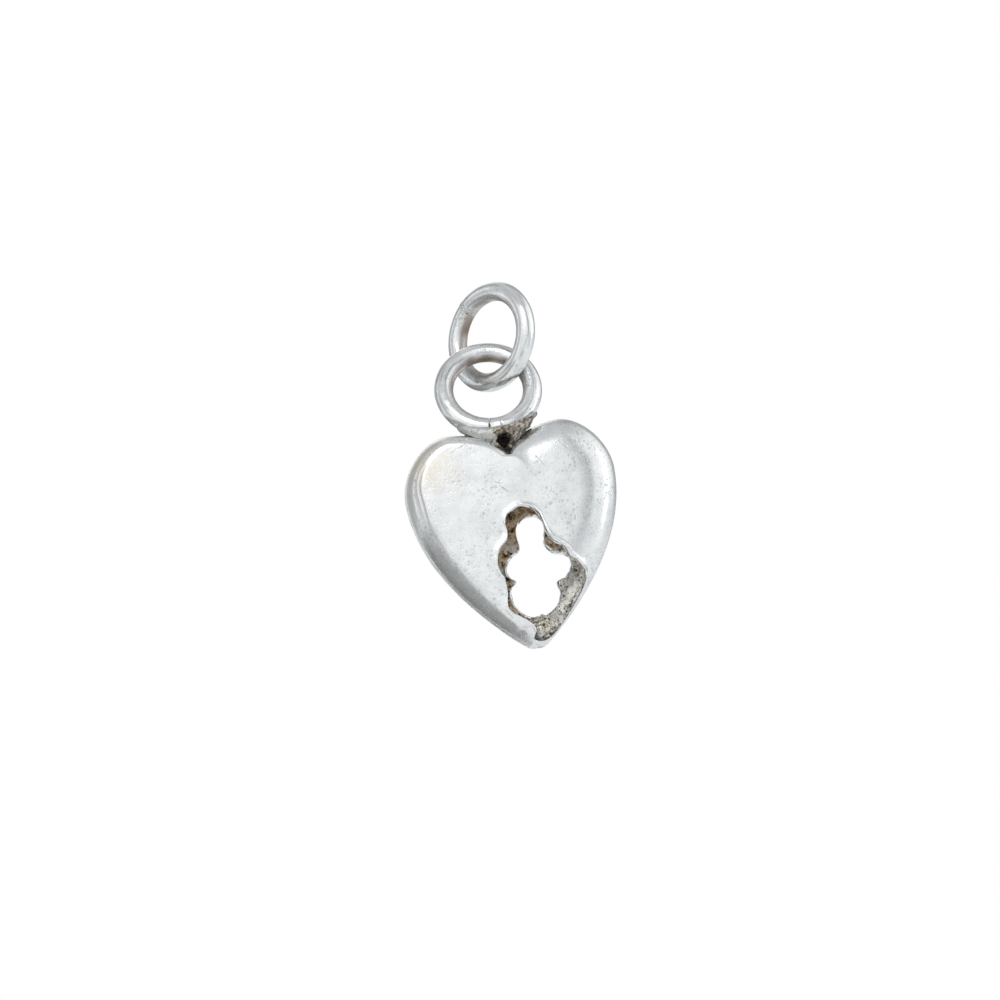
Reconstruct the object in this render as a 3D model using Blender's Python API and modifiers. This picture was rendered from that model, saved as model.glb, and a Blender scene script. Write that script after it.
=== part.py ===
"""Puffed silver heart charm with a pierced opening, hanging on two linked jump rings.

The heart is hollow: two struck sheet shells are soldered rim to rim, and one rough opening
is pierced through both. A jump ring is soldered into the notch between the lobes, and a
second jump ring is linked through the first.

World axes: +X to the heart's right as seen from the front, -Y towards the viewer, +Z up.
The origin is where a chain or bracelet ring bears, inside the top of the upper ring.
Shapes are drawn in the heart's own frame, whose zero is the bottom of the notch.
"""

import math

import bmesh
import bpy
import numpy as np
from mathutils import Matrix, Vector
from mathutils.geometry import interpolate_bezier

MM = 0.001
WELD = 0.001 * MM

# Heart outline, measured from the bottom of the notch
HEART_WIDTH = 13.0 * MM
WIDEST_DROP = 2.0 * MM
LOBE_SPREAD = 6.8 * MM
LOBE_RISE = 1.6 * MM
TIP_DROP = 12.1 * MM
TIP_WIDTH = 1.1 * MM
TIP_ROUND = 0.18 * MM

# Section of the puffed heart
HALF_THICKNESS = 2.3 * MM
SHOULDER_INSET = 1.05 * MM
SHOULDER_RISE = 1.95 * MM
SHOULDER_POWER = 2.6
SHOULDER_END_ANGLE = 78
RIM_LAND = 0.15 * MM
SHEET = 0.45 * MM

# Solder and clearances
SEAT_GAP = 0.05 * MM
BEAD_RADIUS = 0.28 * MM
BEAD_END_GAP = 0.2 * MM
TIP_POOL_HALF_WIDTH = 1.2 * MM
TIP_POOL_HALF_DEPTH = 1.5 * MM
TIP_POOL_HALF_HEIGHT = 1.0 * MM
TIP_POOL_RIGHT = 0.1 * MM
TIP_POOL_BACK = 0.2 * MM
TIP_POOL_RISE = 0.9 * MM
TIP_POOL_GAP = 0.12 * MM
FILLET_RADIUS = 0.56 * MM
FILLET_OFFSET = 0.52 * MM
FILLET_START = -137
FILLET_END = -40
FILLET_END_SHARE = 0.5
NOTCH_FILL_HALF_WIDTH = 2.45 * MM
NOTCH_FILL_HALF_DEPTH = 1.15 * MM
NOTCH_FILL_HALF_HEIGHT = 0.98 * MM
NOTCH_FILL_FRONT = 0.45 * MM
NOTCH_FILL_RISE = 1.00 * MM
POCKET_FLOOR = 0.10 * MM

# Lower ring, soldered in the notch; the seat is the height of its lowest point
LOWER_RING_RADIUS = 2.70 * MM
LOWER_WIRE_RADIUS = 0.56 * MM
LOWER_RING_LEFT = 0.25 * MM
LOWER_RING_SEAT = 1.43 * MM
LOWER_RING_TURN = 1.0
LOWER_RING_LEAN = 23.0
LOWER_JOINT_ANGLE = -100
LOWER_JOINT_GAP = 0.05 * MM

# Upper ring, free to swing in the lower one; it dips below the top of that ring
UPPER_RING_RADIUS = 2.82 * MM
UPPER_WIRE_RADIUS = 0.56 * MM
UPPER_RING_RIGHT = 0.92 * MM
UPPER_RING_BACK = 0.80 * MM
UPPER_RING_DIP = 2.18 * MM
UPPER_RING_TURN = 48.5
UPPER_RING_LEAN = 9.5
UPPER_JOINT_ANGLE = 127
UPPER_JOINT_LENGTH = 0.40 * MM
UPPER_JOINT_SWELL = 1.03

# Fineness of the curved surfaces
OUTLINE_POINTS = 88
EDGE_FINENESS = 8
SHOULDER_STEPS = 6
FACE_SHARES = (0.9, 0.65, 0.35)
RING_POINTS = 44
RING_SIDES_RESOLUTION = 4
BEAD_SIDES_RESOLUTION = 2

# Openings pierced by hand, as points that a smooth closed curve runs through,
# across and up from the notch in millimetres
FRONT_OPENING = [
    (0.32, -3.63), (1.05, -4.16), (1.28, -4.92), (1.54, -5.79), (2.29, -6.53),
    (2.50, -7.08), (3.05, -7.60), (3.30, -8.22), (3.12, -8.85), (2.52, -9.68),
    (1.58, -10.80), (0.68, -11.60), (0.00, -11.82), (-0.48, -11.62), (-0.33, -11.22),
    (-0.48, -10.76), (-1.02, -10.28), (-1.69, -9.70), (-1.65, -8.83), (-1.64, -7.91),
    (-1.90, -7.04), (-1.68, -6.05), (-1.05, -5.35), (-0.96, -4.23), (-0.44, -3.74),
]
BACK_OPENING = [
    (1.38, -3.81), (0.29, -4.18), (0.08, -5.08), (0.13, -5.70), (-0.45, -6.11),
    (-0.86, -6.66), (-0.85, -7.22), (-0.46, -7.65), (-0.78, -8.00), (-0.88, -8.61),
    (-0.52, -9.49), (0.22, -9.97), (1.04, -9.96), (1.75, -9.46), (2.08, -8.70),
    (2.04, -8.03), (2.65, -7.77), (3.05, -6.70), (2.78, -6.41), (2.20, -6.20),
    (1.73, -5.66), (1.78, -5.06), (1.90, -4.24),
]
NOTCH_POCKET = [
    (-0.62, 0.67), (-0.39, 1.12), (0.15, 1.19), (0.42, 0.98), (0.50, 0.75),
    (0.26, 0.39), (-0.09, 0.14),
]

SILVER = (0.86, 0.87, 0.88, 1.0)
SOLDER = (0.55, 0.53, 0.48, 1.0)
DARK_SOLDER = (0.30, 0.26, 0.20, 1.0)


def clear_scene():
    for item in list(bpy.data.objects):
        bpy.data.objects.remove(item, do_unlink=True)


def make_collection(name):
    group = bpy.data.collections.new(name)
    bpy.context.scene.collection.children.link(group)
    return group


def make_material(name, colour, roughness):
    material = bpy.data.materials.new(name)
    material.use_nodes = True
    shader = material.node_tree.nodes["Principled BSDF"]
    shader.inputs["Base Color"].default_value = colour
    shader.inputs["Metallic"].default_value = 1.0
    shader.inputs["Roughness"].default_value = roughness
    return material


def add_object(name, mesh, group, parent, material=None):
    item = bpy.data.objects.new(name, mesh)
    group.objects.link(item)
    item.parent = parent
    if material:
        mesh.materials.append(material)
    return item


def hide_guide(item):
    item.hide_render = True
    item.display_type = "WIRE"


def finish_mesh(builder, name, smooth_angle=None):
    """Turns a bmesh into a mesh whose faces point out."""
    bmesh.ops.recalc_face_normals(builder, faces=builder.faces)
    mesh = bpy.data.meshes.new(name)
    builder.to_mesh(mesh)
    builder.free()
    if smooth_angle:
        mesh.shade_smooth()
        mesh.set_sharp_from_angle(angle=math.radians(smooth_angle))
    return mesh


def half_outline():
    """Right half of the heart, from the notch over the lobe and down to the tip."""
    side = HEART_WIDTH / 2
    lobe = LOBE_SPREAD / 2
    tip_side = TIP_WIDTH / 2
    tip_start = TIP_DROP - TIP_ROUND
    knots = [
        ((0, 0), (0.17 * lobe, 0.55 * LOBE_RISE),
         (0.60 * lobe, LOBE_RISE), (lobe, LOBE_RISE)),
        ((lobe, LOBE_RISE), (lobe + 0.50 * (side - lobe), LOBE_RISE),
         (side, -0.10 * WIDEST_DROP), (side, -WIDEST_DROP)),
        ((side, -WIDEST_DROP), (side, -WIDEST_DROP - 0.30 * tip_start),
         (tip_side + 0.57 * (side - tip_side), -0.765 * tip_start), (tip_side, -tip_start)),
        ((tip_side, -tip_start), (0.55 * tip_side, -TIP_DROP + 0.20 * TIP_ROUND),
         (0.30 * tip_side, -TIP_DROP), (0, -TIP_DROP)),
    ]
    points = [Vector((0, 0))]
    for knot in knots:
        start, out, back, end = [Vector(p) for p in knot]
        points += interpolate_bezier(start, out, back, end, 60)[1:]
    return points


def evenly_spaced(points, count):
    """Picks count + 1 points at equal steps along a run of points."""
    lengths = [0.0]
    for first, second in zip(points, points[1:]):
        lengths.append(lengths[-1] + (second - first).length)
    picked = []
    index = 0
    for step in range(count + 1):
        target = lengths[-1] * step / count
        while index < len(points) - 2 and lengths[index + 1] < target:
            index += 1
        share = (target - lengths[index]) / (lengths[index + 1] - lengths[index])
        picked.append(points[index].lerp(points[index + 1], share))
    return picked


def heart_outline(count):
    """Closed outline of evenly spaced points, clockwise from the notch."""
    right = evenly_spaced(half_outline(), count // 2)
    left = [Vector((-p.x, p.y)) for p in reversed(right[1:-1])]
    return right + left


def heart_centre():
    """Point that the outline is drawn in towards."""
    return Vector((0, -0.37 * TIP_DROP))


def inset_outline(distance):
    """Outline drawn in towards the centre until it lies a distance from the nearest edge."""
    outline = heart_outline(OUTLINE_POINTS)
    if distance == 0:
        return outline
    edge = np.array([tuple(p) for p in heart_outline(OUTLINE_POINTS * EDGE_FINENESS)])
    centre = heart_centre()
    moved = []
    for point in outline:
        direction = (centre - point).normalized() * math.copysign(1, distance)
        away = np.array(point) - edge
        along = away @ np.array(direction)
        spare = along ** 2 - (away ** 2).sum(axis=1) + distance ** 2
        near = (spare >= 0) & (along > -(centre - point).length)
        travel = float((np.sqrt(spare[near]) - along[near]).max())
        moved.append(point + direction * travel)
    return moved


def shoulder_section():
    """Inset and height of each ring from the seam up to the shoulder's inner edge."""
    steps = [(0.0, 0.0), (0.0, RIM_LAND)]
    power = 2 / SHOULDER_POWER
    last = math.radians(SHOULDER_END_ANGLE)
    full_inset = 1 - math.cos(last) ** power
    full_rise = math.sin(last) ** power
    for step in range(1, SHOULDER_STEPS + 1):
        angle = last * step / SHOULDER_STEPS
        inset = SHOULDER_INSET * (1 - math.cos(angle) ** power) / full_inset
        rise = (SHOULDER_RISE - RIM_LAND) * math.sin(angle) ** power / full_rise
        steps.append((inset, RIM_LAND + rise))
    return steps


def crown_rise(point):
    """Extra height of the faintly domed face, most at its middle and none at its ends."""
    centre = heart_centre()
    across = (point.x - centre.x) / (HEART_WIDTH / 2)
    along = (point.y - centre.y) / (TIP_DROP + centre.y)
    return (HALF_THICKNESS - SHOULDER_RISE) * max(0, 1 - across ** 2 - along ** 2)


def heart_rings(grow, seam_lift):
    """Rings of points (across, up, height) of one side of the heart, seam to middle."""
    rings = []
    for inset, rise in shoulder_section():
        ring = []
        for point in inset_outline(inset - grow):
            height = rise * (1 + crown_rise(point) / SHOULDER_RISE)
            ring.append((point.x, point.y, height + seam_lift))
        rings.append(ring)
    centre = heart_centre()
    edge = inset_outline(SHOULDER_INSET - grow)
    for share in FACE_SHARES:
        ring = []
        for point in edge:
            drawn_in = centre.lerp(point, share)
            height = SHOULDER_RISE + crown_rise(drawn_in)
            ring.append((drawn_in.x, drawn_in.y, height + seam_lift))
        rings.append(ring)
    return rings


def loft_side(builder, rings, top, side):
    """Skins one side of the heart. side is -1 for the front and +1 for the back."""
    loops = []
    for ring in rings:
        loops.append([builder.verts.new((x, side * height, z)) for x, z, height in ring])
    for low, high in zip(loops, loops[1:]):
        for index in range(len(low)):
            after = (index + 1) % len(low)
            builder.faces.new((low[index], low[after], high[after], high[index]))
    centre = heart_centre()
    crown = builder.verts.new((centre.x, side * top, centre.y))
    last = loops[-1]
    for index in range(len(last)):
        builder.faces.new((last[index], last[(index + 1) % len(last)], crown))
    return loops[0]


def make_shell(name, side, group, parent, material):
    """One struck sheet shell, its open rim half a seat gap from the seam plane."""
    builder = bmesh.new()
    lift = SEAT_GAP / 2
    loft_side(builder, heart_rings(0.0, lift), HALF_THICKNESS + lift, side)
    bmesh.ops.recalc_face_normals(builder, faces=builder.faces)
    outward = sum((f.normal.y * side * f.calc_area() for f in builder.faces), 0.0)
    if outward < 0:
        bmesh.ops.reverse_faces(builder, faces=builder.faces)
    mesh = bpy.data.meshes.new(name)
    builder.to_mesh(mesh)
    builder.free()
    mesh.shade_smooth()
    mesh.set_sharp_from_angle(angle=math.radians(40))
    shell = add_object(name, mesh, group, parent, material)
    wall = shell.modifiers.new("sheet", "SOLIDIFY")
    wall.thickness = SHEET
    wall.offset = -1.0
    wall.use_rim = True
    return shell


def make_heart_guide(name, grow, group, parent):
    """Closed solid heart that neighbours are cut to, grown all round or shrunk if negative."""
    lift = max(grow, 0)
    flatten = 1 + min(grow, 0) / HALF_THICKNESS
    rings = []
    for ring in heart_rings(grow, lift):
        rings.append([(x, z, height * flatten) for x, z, height in ring])
    top = (HALF_THICKNESS + lift) * flatten
    builder = bmesh.new()
    front = loft_side(builder, rings, top, -1)
    back = loft_side(builder, rings, top, 1)
    for index in range(len(front)):
        after = (index + 1) % len(front)
        builder.faces.new((front[index], front[after], back[after], back[index]))
    bmesh.ops.remove_doubles(builder, verts=builder.verts, dist=WELD)
    guide = add_object(name, finish_mesh(builder, name), group, parent)
    hide_guide(guide)
    return guide


def curve_to_mesh(item, name, group):
    """Replaces a curve object with a mesh whose caps are welded."""
    bpy.context.view_layer.update()
    evaluated = item.evaluated_get(bpy.context.evaluated_depsgraph_get())
    mesh = bpy.data.meshes.new_from_object(evaluated)
    mesh.name = name
    builder = bmesh.new()
    builder.from_mesh(mesh)
    bmesh.ops.remove_doubles(builder, verts=builder.verts, dist=WELD)
    bmesh.ops.recalc_face_normals(builder, faces=builder.faces)
    builder.to_mesh(mesh)
    builder.free()
    parent = item.parent
    place = item.matrix_basis.copy()
    bpy.data.objects.remove(item, do_unlink=True)
    solid = bpy.data.objects.new(name, mesh)
    group.objects.link(solid)
    solid.parent = parent
    solid.matrix_basis = place
    return solid


def make_prism(name, outline, front, back, smooth, group, parent):
    """Cutter with the given outline in millimetres, from depth front to depth back."""
    curve = bpy.data.curves.new(name, "CURVE")
    curve.dimensions = "2D"
    curve.fill_mode = "BOTH"
    curve.extrude = (back - front) / 2
    curve.resolution_u = 4
    if smooth:
        spline = curve.splines.new("BEZIER")
        spline.bezier_points.add(len(outline) - 1)
        for knot, (across, up) in zip(spline.bezier_points, outline):
            knot.co = (across * MM, up * MM, 0)
            knot.handle_left_type = "AUTO"
            knot.handle_right_type = "AUTO"
    else:
        spline = curve.splines.new("POLY")
        spline.points.add(len(outline) - 1)
        for knot, (across, up) in zip(spline.points, outline):
            knot.co = (across * MM, up * MM, 0, 1)
    spline.use_cyclic_u = True
    item = bpy.data.objects.new(name, curve)
    group.objects.link(item)
    item.parent = parent
    item.rotation_euler = (math.radians(90), 0, 0)
    item.location = (0, (front + back) / 2, 0)
    solid = curve_to_mesh(item, name, group)
    hide_guide(solid)
    return solid


def combine(item, guide, operation="DIFFERENCE"):
    modifier = item.modifiers.new(operation.lower() + " " + guide.name, "BOOLEAN")
    modifier.operation = operation
    modifier.solver = "EXACT"
    modifier.object = guide


def ring_matrix(centre, turn, lean):
    """Stands a ring that is drawn in the XZ plane at its centre, turned and leaning back."""
    turned = Matrix.Rotation(math.radians(-turn), 4, "Z")
    leaning = Matrix.Rotation(math.radians(-lean), 4, "X")
    return Matrix.Translation(centre) @ turned @ leaning


def lower_ring_centre():
    return Vector((-LOWER_RING_LEFT, 0, LOWER_RING_SEAT + LOWER_RING_RADIUS))


def lower_ring_matrix():
    return ring_matrix(lower_ring_centre(), LOWER_RING_TURN, LOWER_RING_LEAN)


def upper_ring_matrix():
    """Place of the upper ring, which follows the top of the lower one."""
    rise = LOWER_RING_RADIUS + UPPER_RING_RADIUS - UPPER_RING_DIP
    centre = lower_ring_centre() + Vector((UPPER_RING_RIGHT, UPPER_RING_BACK, rise))
    return ring_matrix(centre, UPPER_RING_TURN, UPPER_RING_LEAN)


def wire_curve(name, points, radius, resolution, cyclic=False, weights=None):
    curve = bpy.data.curves.new(name, "CURVE")
    curve.dimensions = "3D"
    curve.bevel_depth = radius
    curve.bevel_resolution = resolution
    curve.use_fill_caps = True
    spline = curve.splines.new("POLY")
    spline.points.add(len(points) - 1)
    for index, (knot, point) in enumerate(zip(spline.points, points)):
        knot.co = (*point, 1)
        knot.radius = weights[index] if weights else 1.0
    spline.use_cyclic_u = cyclic
    return curve


def ring_arc(radius, start, end, count):
    """Points of an arc in the XZ plane, angles in degrees from +X towards +Z."""
    points = []
    for step in range(count + 1):
        angle = math.radians(start + (end - start) * step / count)
        points.append(Vector((radius * math.cos(angle), 0, radius * math.sin(angle))))
    return points


def make_open_ring(name, radius, wire, joint_angle, joint_gap, matrix, group, parent, material):
    """Round wire bent into a ring whose two ends face each other across the joint."""
    half = math.degrees(joint_gap / 2 / radius)
    points = ring_arc(radius, joint_angle + half, joint_angle + 360 - half, RING_POINTS)
    curve = wire_curve(name, points, wire, RING_SIDES_RESOLUTION)
    item = bpy.data.objects.new(name, curve)
    group.objects.link(item)
    item.parent = parent
    item.matrix_basis = matrix
    ring = curve_to_mesh(item, name, group)
    ring.data.shade_smooth()
    ring.data.set_sharp_from_angle(angle=math.radians(50))
    ring.data.materials.append(material)
    return ring


def make_ring_guide(name, radius, wire, matrix, group, parent):
    """Closed torus that neighbours are cut back to."""
    points = ring_arc(radius, 0, 360, RING_POINTS)[:-1]
    curve = wire_curve(name, points, wire, RING_SIDES_RESOLUTION, cyclic=True)
    item = bpy.data.objects.new(name, curve)
    group.objects.link(item)
    item.parent = parent
    item.matrix_basis = matrix
    guide = curve_to_mesh(item, name, group)
    hide_guide(guide)
    return guide


def make_lump(name, size, place, segments, rings, group, parent, material=None):
    """Rounded lump of solder with the given half sizes."""
    builder = bmesh.new()
    shape = Matrix.Translation(place) @ Matrix.Diagonal((*size, 1))
    bmesh.ops.create_uvsphere(builder, u_segments=segments, v_segments=rings, radius=1, matrix=shape)
    return add_object(name, finish_mesh(builder, name, 60), group, parent, material)


def run_above(points, floor):
    """The part of a closed run of points that lies above a height, from its lowest point."""
    lowest = min(range(len(points)), key=lambda index: points[index].y)
    ordered = points[lowest:] + points[:lowest + 1]
    kept = []
    for first, second in zip(ordered, ordered[1:]):
        if (first.y - floor) * (second.y - floor) < 0:
            kept.append(first.lerp(second, (floor - first.y) / (second.y - first.y)))
        if second.y > floor:
            kept.append(second)
    return kept


def tip_pool_place():
    return Vector((TIP_POOL_RIGHT, TIP_POOL_BACK, TIP_POOL_RISE - TIP_DROP))


def make_seam_solder(name, group, parent, material):
    """Bead run round the inside of the seam, open at the tip where the pool lies."""
    inset = SHEET + SEAT_GAP + BEAD_RADIUS
    floor = tip_pool_place().z + TIP_POOL_HALF_HEIGHT + BEAD_END_GAP
    run = evenly_spaced(run_above(inset_outline(inset), floor), OUTLINE_POINTS // 2)
    points = [Vector((p.x, 0, p.y)) for p in run]
    curve = wire_curve(name, points, BEAD_RADIUS, BEAD_SIDES_RESOLUTION)
    item = bpy.data.objects.new(name, curve)
    group.objects.link(item)
    item.parent = parent
    bead = curve_to_mesh(item, name, group)
    bead.data.shade_smooth()
    bead.data.materials.append(material)
    return bead


def make_heart(parts, guides, parent, silver, dark):
    """The two shells, both pierced, and the solder inside them."""
    front = make_shell("front_shell", -1, parts, parent, silver)
    back = make_shell("back_shell", 1, parts, parent, silver)
    reach = 2 * HALF_THICKNESS
    front_cutter = make_prism("front_opening", FRONT_OPENING, -reach, 0, True, guides, parent)
    back_cutter = make_prism("back_opening", BACK_OPENING, 0, reach, True, guides, parent)
    combine(front, front_cutter)
    combine(back, back_cutter)
    make_seam_solder("seam_solder", parts, parent, dark)
    size = (TIP_POOL_HALF_WIDTH, TIP_POOL_HALF_DEPTH, TIP_POOL_HALF_HEIGHT)
    pool = make_lump("tip_solder", size, tip_pool_place(), 24, 12, parts, parent, dark)
    hollow = make_heart_guide("hollow", -SHEET - TIP_POOL_GAP, guides, parent)
    combine(pool, hollow, "INTERSECT")


def make_saddle(parts, guides, parent, ring_place, solder):
    """Solder that fills the notch and creeps up both sides of the ring's lower arc."""
    radius = LOWER_RING_RADIUS + FILLET_OFFSET
    points = ring_arc(radius, FILLET_START, FILLET_END, 20)
    weights = []
    for step in range(len(points)):
        bulge = math.sin(math.pi * step / (len(points) - 1)) ** 0.5
        weights.append(FILLET_END_SHARE + (1 - FILLET_END_SHARE) * bulge)
    curve = wire_curve("ring_solder", points, FILLET_RADIUS, RING_SIDES_RESOLUTION,
                       weights=weights)
    item = bpy.data.objects.new("ring_solder", curve)
    parts.objects.link(item)
    item.parent = parent
    item.matrix_basis = ring_place
    saddle = curve_to_mesh(item, "ring_solder", parts)
    saddle.data.materials.append(solder)
    size = (NOTCH_FILL_HALF_WIDTH, NOTCH_FILL_HALF_DEPTH, NOTCH_FILL_HALF_HEIGHT)
    place = Vector((-LOWER_RING_LEFT, -NOTCH_FILL_FRONT, NOTCH_FILL_RISE))
    fill = make_lump("notch_fill", size, place, 24, 12, guides, parent)
    hide_guide(fill)
    combine(saddle, fill, "UNION")
    combine(saddle, make_heart_guide("heart_seat", SEAT_GAP, guides, parent))
    combine(saddle, make_ring_guide("ring_seat", LOWER_RING_RADIUS,
                                    LOWER_WIRE_RADIUS + SEAT_GAP, ring_place, guides, parent))
    combine(saddle, make_prism("notch_pocket", NOTCH_POCKET, -2 * HALF_THICKNESS,
                               POCKET_FLOOR, False, guides, parent))


def make_lower_ring(parts, guides, parent, silver, solder):
    """Ring in the notch and the solder saddle that holds it to both lobes."""
    ring_place = lower_ring_matrix()
    make_open_ring("lower_ring", LOWER_RING_RADIUS, LOWER_WIRE_RADIUS, LOWER_JOINT_ANGLE,
                   LOWER_JOINT_GAP, ring_place, parts, parent, silver)
    make_saddle(parts, guides, parent, ring_place, solder)


def make_upper_ring(parts, parent, matrix, silver, solder):
    """Free ring and the solder that closes its joint."""
    gap = UPPER_JOINT_LENGTH
    make_open_ring("upper_ring", UPPER_RING_RADIUS, UPPER_WIRE_RADIUS, UPPER_JOINT_ANGLE,
                   gap, matrix, parts, parent, silver)
    half = math.degrees((gap / 2 - SEAT_GAP) / UPPER_RING_RADIUS)
    points = ring_arc(UPPER_RING_RADIUS, UPPER_JOINT_ANGLE - half, UPPER_JOINT_ANGLE + half, 4)
    swell = UPPER_JOINT_SWELL
    weights = [1.0, (1 + swell) / 2, swell, (1 + swell) / 2, 1.0]
    curve = wire_curve("upper_ring_solder", points, UPPER_WIRE_RADIUS, RING_SIDES_RESOLUTION,
                       weights=weights)
    item = bpy.data.objects.new("upper_ring_solder", curve)
    parts.objects.link(item)
    item.parent = parent
    item.matrix_basis = matrix
    plug = curve_to_mesh(item, "upper_ring_solder", parts)
    plug.data.shade_smooth()
    plug.data.set_sharp_from_angle(angle=math.radians(50))
    plug.data.materials.append(solder)


def make_empty(name, group, place, parent=None):
    empty = bpy.data.objects.new(name, None)
    group.objects.link(empty)
    empty.empty_display_size = 2 * MM
    empty.parent = parent
    empty.location = place
    return empty


def build_charm():
    clear_scene()
    parts = make_collection("heart_charm")
    guides = make_collection("guides")
    silver = make_material("worn_silver", SILVER, 0.28)
    solder = make_material("grey_solder", SOLDER, 0.55)
    dark = make_material("tarnished_solder", DARK_SOLDER, 0.65)

    upper = upper_ring_matrix()
    eye = upper @ Vector((0, 0, UPPER_RING_RADIUS - UPPER_WIRE_RADIUS))
    pivot = lower_ring_matrix() @ Vector((0, 0, LOWER_RING_RADIUS))

    hanger = make_empty("hanging_eye", guides, (0, 0, 0))
    swing = make_empty("heart_swing", guides, pivot - eye, hanger)
    notch = make_empty("notch", guides, -pivot, swing)

    make_upper_ring(parts, hanger, Matrix.Translation(-eye) @ upper, silver, solder)
    make_heart(parts, guides, notch, silver, dark)
    make_lower_ring(parts, guides, notch, silver, solder)


build_charm()
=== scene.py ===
"""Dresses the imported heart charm: worn silver, grainy solder, dark tarnish and soft light.

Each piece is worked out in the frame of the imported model. The heart, the rings and the solder
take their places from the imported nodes, so they follow a model of another size.
"""

import math

import bmesh
import bpy
import numpy as np
from bpy.props import FloatProperty, FloatVectorProperty, IntProperty, PointerProperty
from bpy.types import Operator, Panel, PropertyGroup
from mathutils import Matrix, Vector, kdtree, noise
from mathutils.geometry import interpolate_bezier


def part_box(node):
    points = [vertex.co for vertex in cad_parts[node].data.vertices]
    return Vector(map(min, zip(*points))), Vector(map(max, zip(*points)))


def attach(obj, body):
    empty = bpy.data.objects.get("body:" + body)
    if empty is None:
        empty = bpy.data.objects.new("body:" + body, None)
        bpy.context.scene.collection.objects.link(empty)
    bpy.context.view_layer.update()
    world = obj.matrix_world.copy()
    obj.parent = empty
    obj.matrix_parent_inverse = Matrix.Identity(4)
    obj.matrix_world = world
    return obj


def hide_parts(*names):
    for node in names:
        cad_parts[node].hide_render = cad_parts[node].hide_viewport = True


bl_info = {
    "name": "Heart charm",
    "version": (1, 0, 0),
    "blender": (4, 5, 0),
    "location": "View3D > Sidebar > Heart charm",
    "description": "Worn silver looks for a pierced heart charm on two rings",
    "category": "Object",
}

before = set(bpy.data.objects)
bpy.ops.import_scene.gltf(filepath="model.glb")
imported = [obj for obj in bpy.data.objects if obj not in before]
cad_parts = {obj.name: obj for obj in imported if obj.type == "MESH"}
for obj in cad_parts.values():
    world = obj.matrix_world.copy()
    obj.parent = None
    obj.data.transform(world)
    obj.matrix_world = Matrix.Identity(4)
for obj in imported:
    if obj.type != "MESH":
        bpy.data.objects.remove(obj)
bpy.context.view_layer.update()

MM = 0.001
QUARTER = math.pi / 2

# Openings pierced by hand, as points that a smooth closed curve runs through,
# across and up from the notch in millimetres
FRONT_OPENING = [
    (0.32, -3.63), (1.05, -4.16), (1.28, -4.92), (1.54, -5.79), (2.29, -6.53),
    (2.50, -7.08), (3.05, -7.60), (3.30, -8.22), (3.12, -8.85), (2.52, -9.68),
    (1.58, -10.80), (0.68, -11.60), (0.00, -11.82), (-0.48, -11.62), (-0.33, -11.22),
    (-0.48, -10.76), (-1.02, -10.28), (-1.69, -9.70), (-1.65, -8.83), (-1.64, -7.91),
    (-1.90, -7.04), (-1.68, -6.05), (-1.05, -5.35), (-0.96, -4.23), (-0.44, -3.74),
]
BACK_OPENING = [
    (1.38, -3.81), (0.29, -4.18), (0.08, -5.08), (0.13, -5.70), (-0.45, -6.11),
    (-0.86, -6.66), (-0.85, -7.22), (-0.46, -7.65), (-0.78, -8.00), (-0.88, -8.61),
    (-0.52, -9.49), (0.22, -9.97), (1.04, -9.96), (1.75, -9.46), (2.08, -8.70),
    (2.04, -8.03), (2.65, -7.77), (3.05, -6.70), (2.78, -6.41), (2.20, -6.20),
    (1.73, -5.66), (1.78, -5.06), (1.90, -4.24),
]
OPENING_MIDDLE = Vector((0.6, -7.7)) * MM

# How square the shoulder's section is, and how much even steps along the rim count against
# even steps along the opening where the two are paired
SHOULDER_POWER = 2.3
RIM_WEIGHT = 1.3

# Loops on each stretch of a shell's skin
SHOULDER_LOOPS, FACE_LOOPS, EDGE_LOOPS, WALL_LOOPS = 25, 36, 6, 8
UNDER_EDGE_LOOPS, UNDER_FACE_LOOPS, UNDER_SHOULDER_LOOPS = 3, 33, 18

# Widths of the burr round the opening and of the rubbed band behind it, how far in the worn
# groove lies and how deep it is, and the depth of the dent
BEAD_WIDTH = 0.16 * MM
FADE_WIDTH = 0.14 * MM
GROOVE_INSET = 0.70 * MM
GROOVE_DEPTH = 0.045 * MM
DENT_DEPTH = 0.05 * MM

# Spots on the heart: middle, across and up from the notch, and reach, in millimetres
DENT = ((-0.98, -10.98), 0.22)
# Pale spots inside the back shell: pale deposit, made lighter with painted light
PALE_LIT_SPOTS = [((-0.25, -5.75), 0.55), ((2.4, -7.6), 0.75)]
WARM_SPOT = ((-5.2, 0.1), 1.6)

# Where the seam's solder lies thick: a place from the notch and the way along it, in
# millimetres
SOLDER_BANK = ((0.5, 0, -11.3), (2.75, 0, 3.5))

# Heights of the lumps and grains of set solder, as shares, and their sizes in millimetres
SOLDER_LUMPS = [(0.7, 0.6), (0.7, 0.27), (0.6, 0.13)]

# Scratches on the heart's faces: both ends, across and up from the notch, and half width, in
# millimetres
SCRATCHES = [
    ((-0.95, -2.15), (-0.45, -2.65), 0.05),
    ((-0.80, -2.05), (-1.25, -1.85), 0.035),
    ((3.10, 0.10), (3.75, -0.75), 0.045),
    ((3.75, -0.75), (3.95, -1.70), 0.045),
    ((1.55, -0.60), (2.05, -1.45), 0.03),
    ((-3.60, 0.30), (-2.50, 0.75), 0.03),
    ((-2.20, -4.90), (-2.45, -5.60), 0.03),
]

# Steps along the rings and round their wire, how much bigger they are than packed, the
# rounding of their ends, how far the scar stands out, and the depth of dents and streaks
RING_STEPS = 640
SCAR_STEPS = 14
WIRE_SIDES = 84
RING_GROWTH = 0.02 * MM
WIRE_GROWTH = 0.025 * MM
RING_END = 0.05 * MM
SCAR_END = 0.03 * MM
SCAR_SWELL = 0.015
DENTING = 0.009 * MM
STREAK_DEPTH = 0.003 * MM

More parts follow.
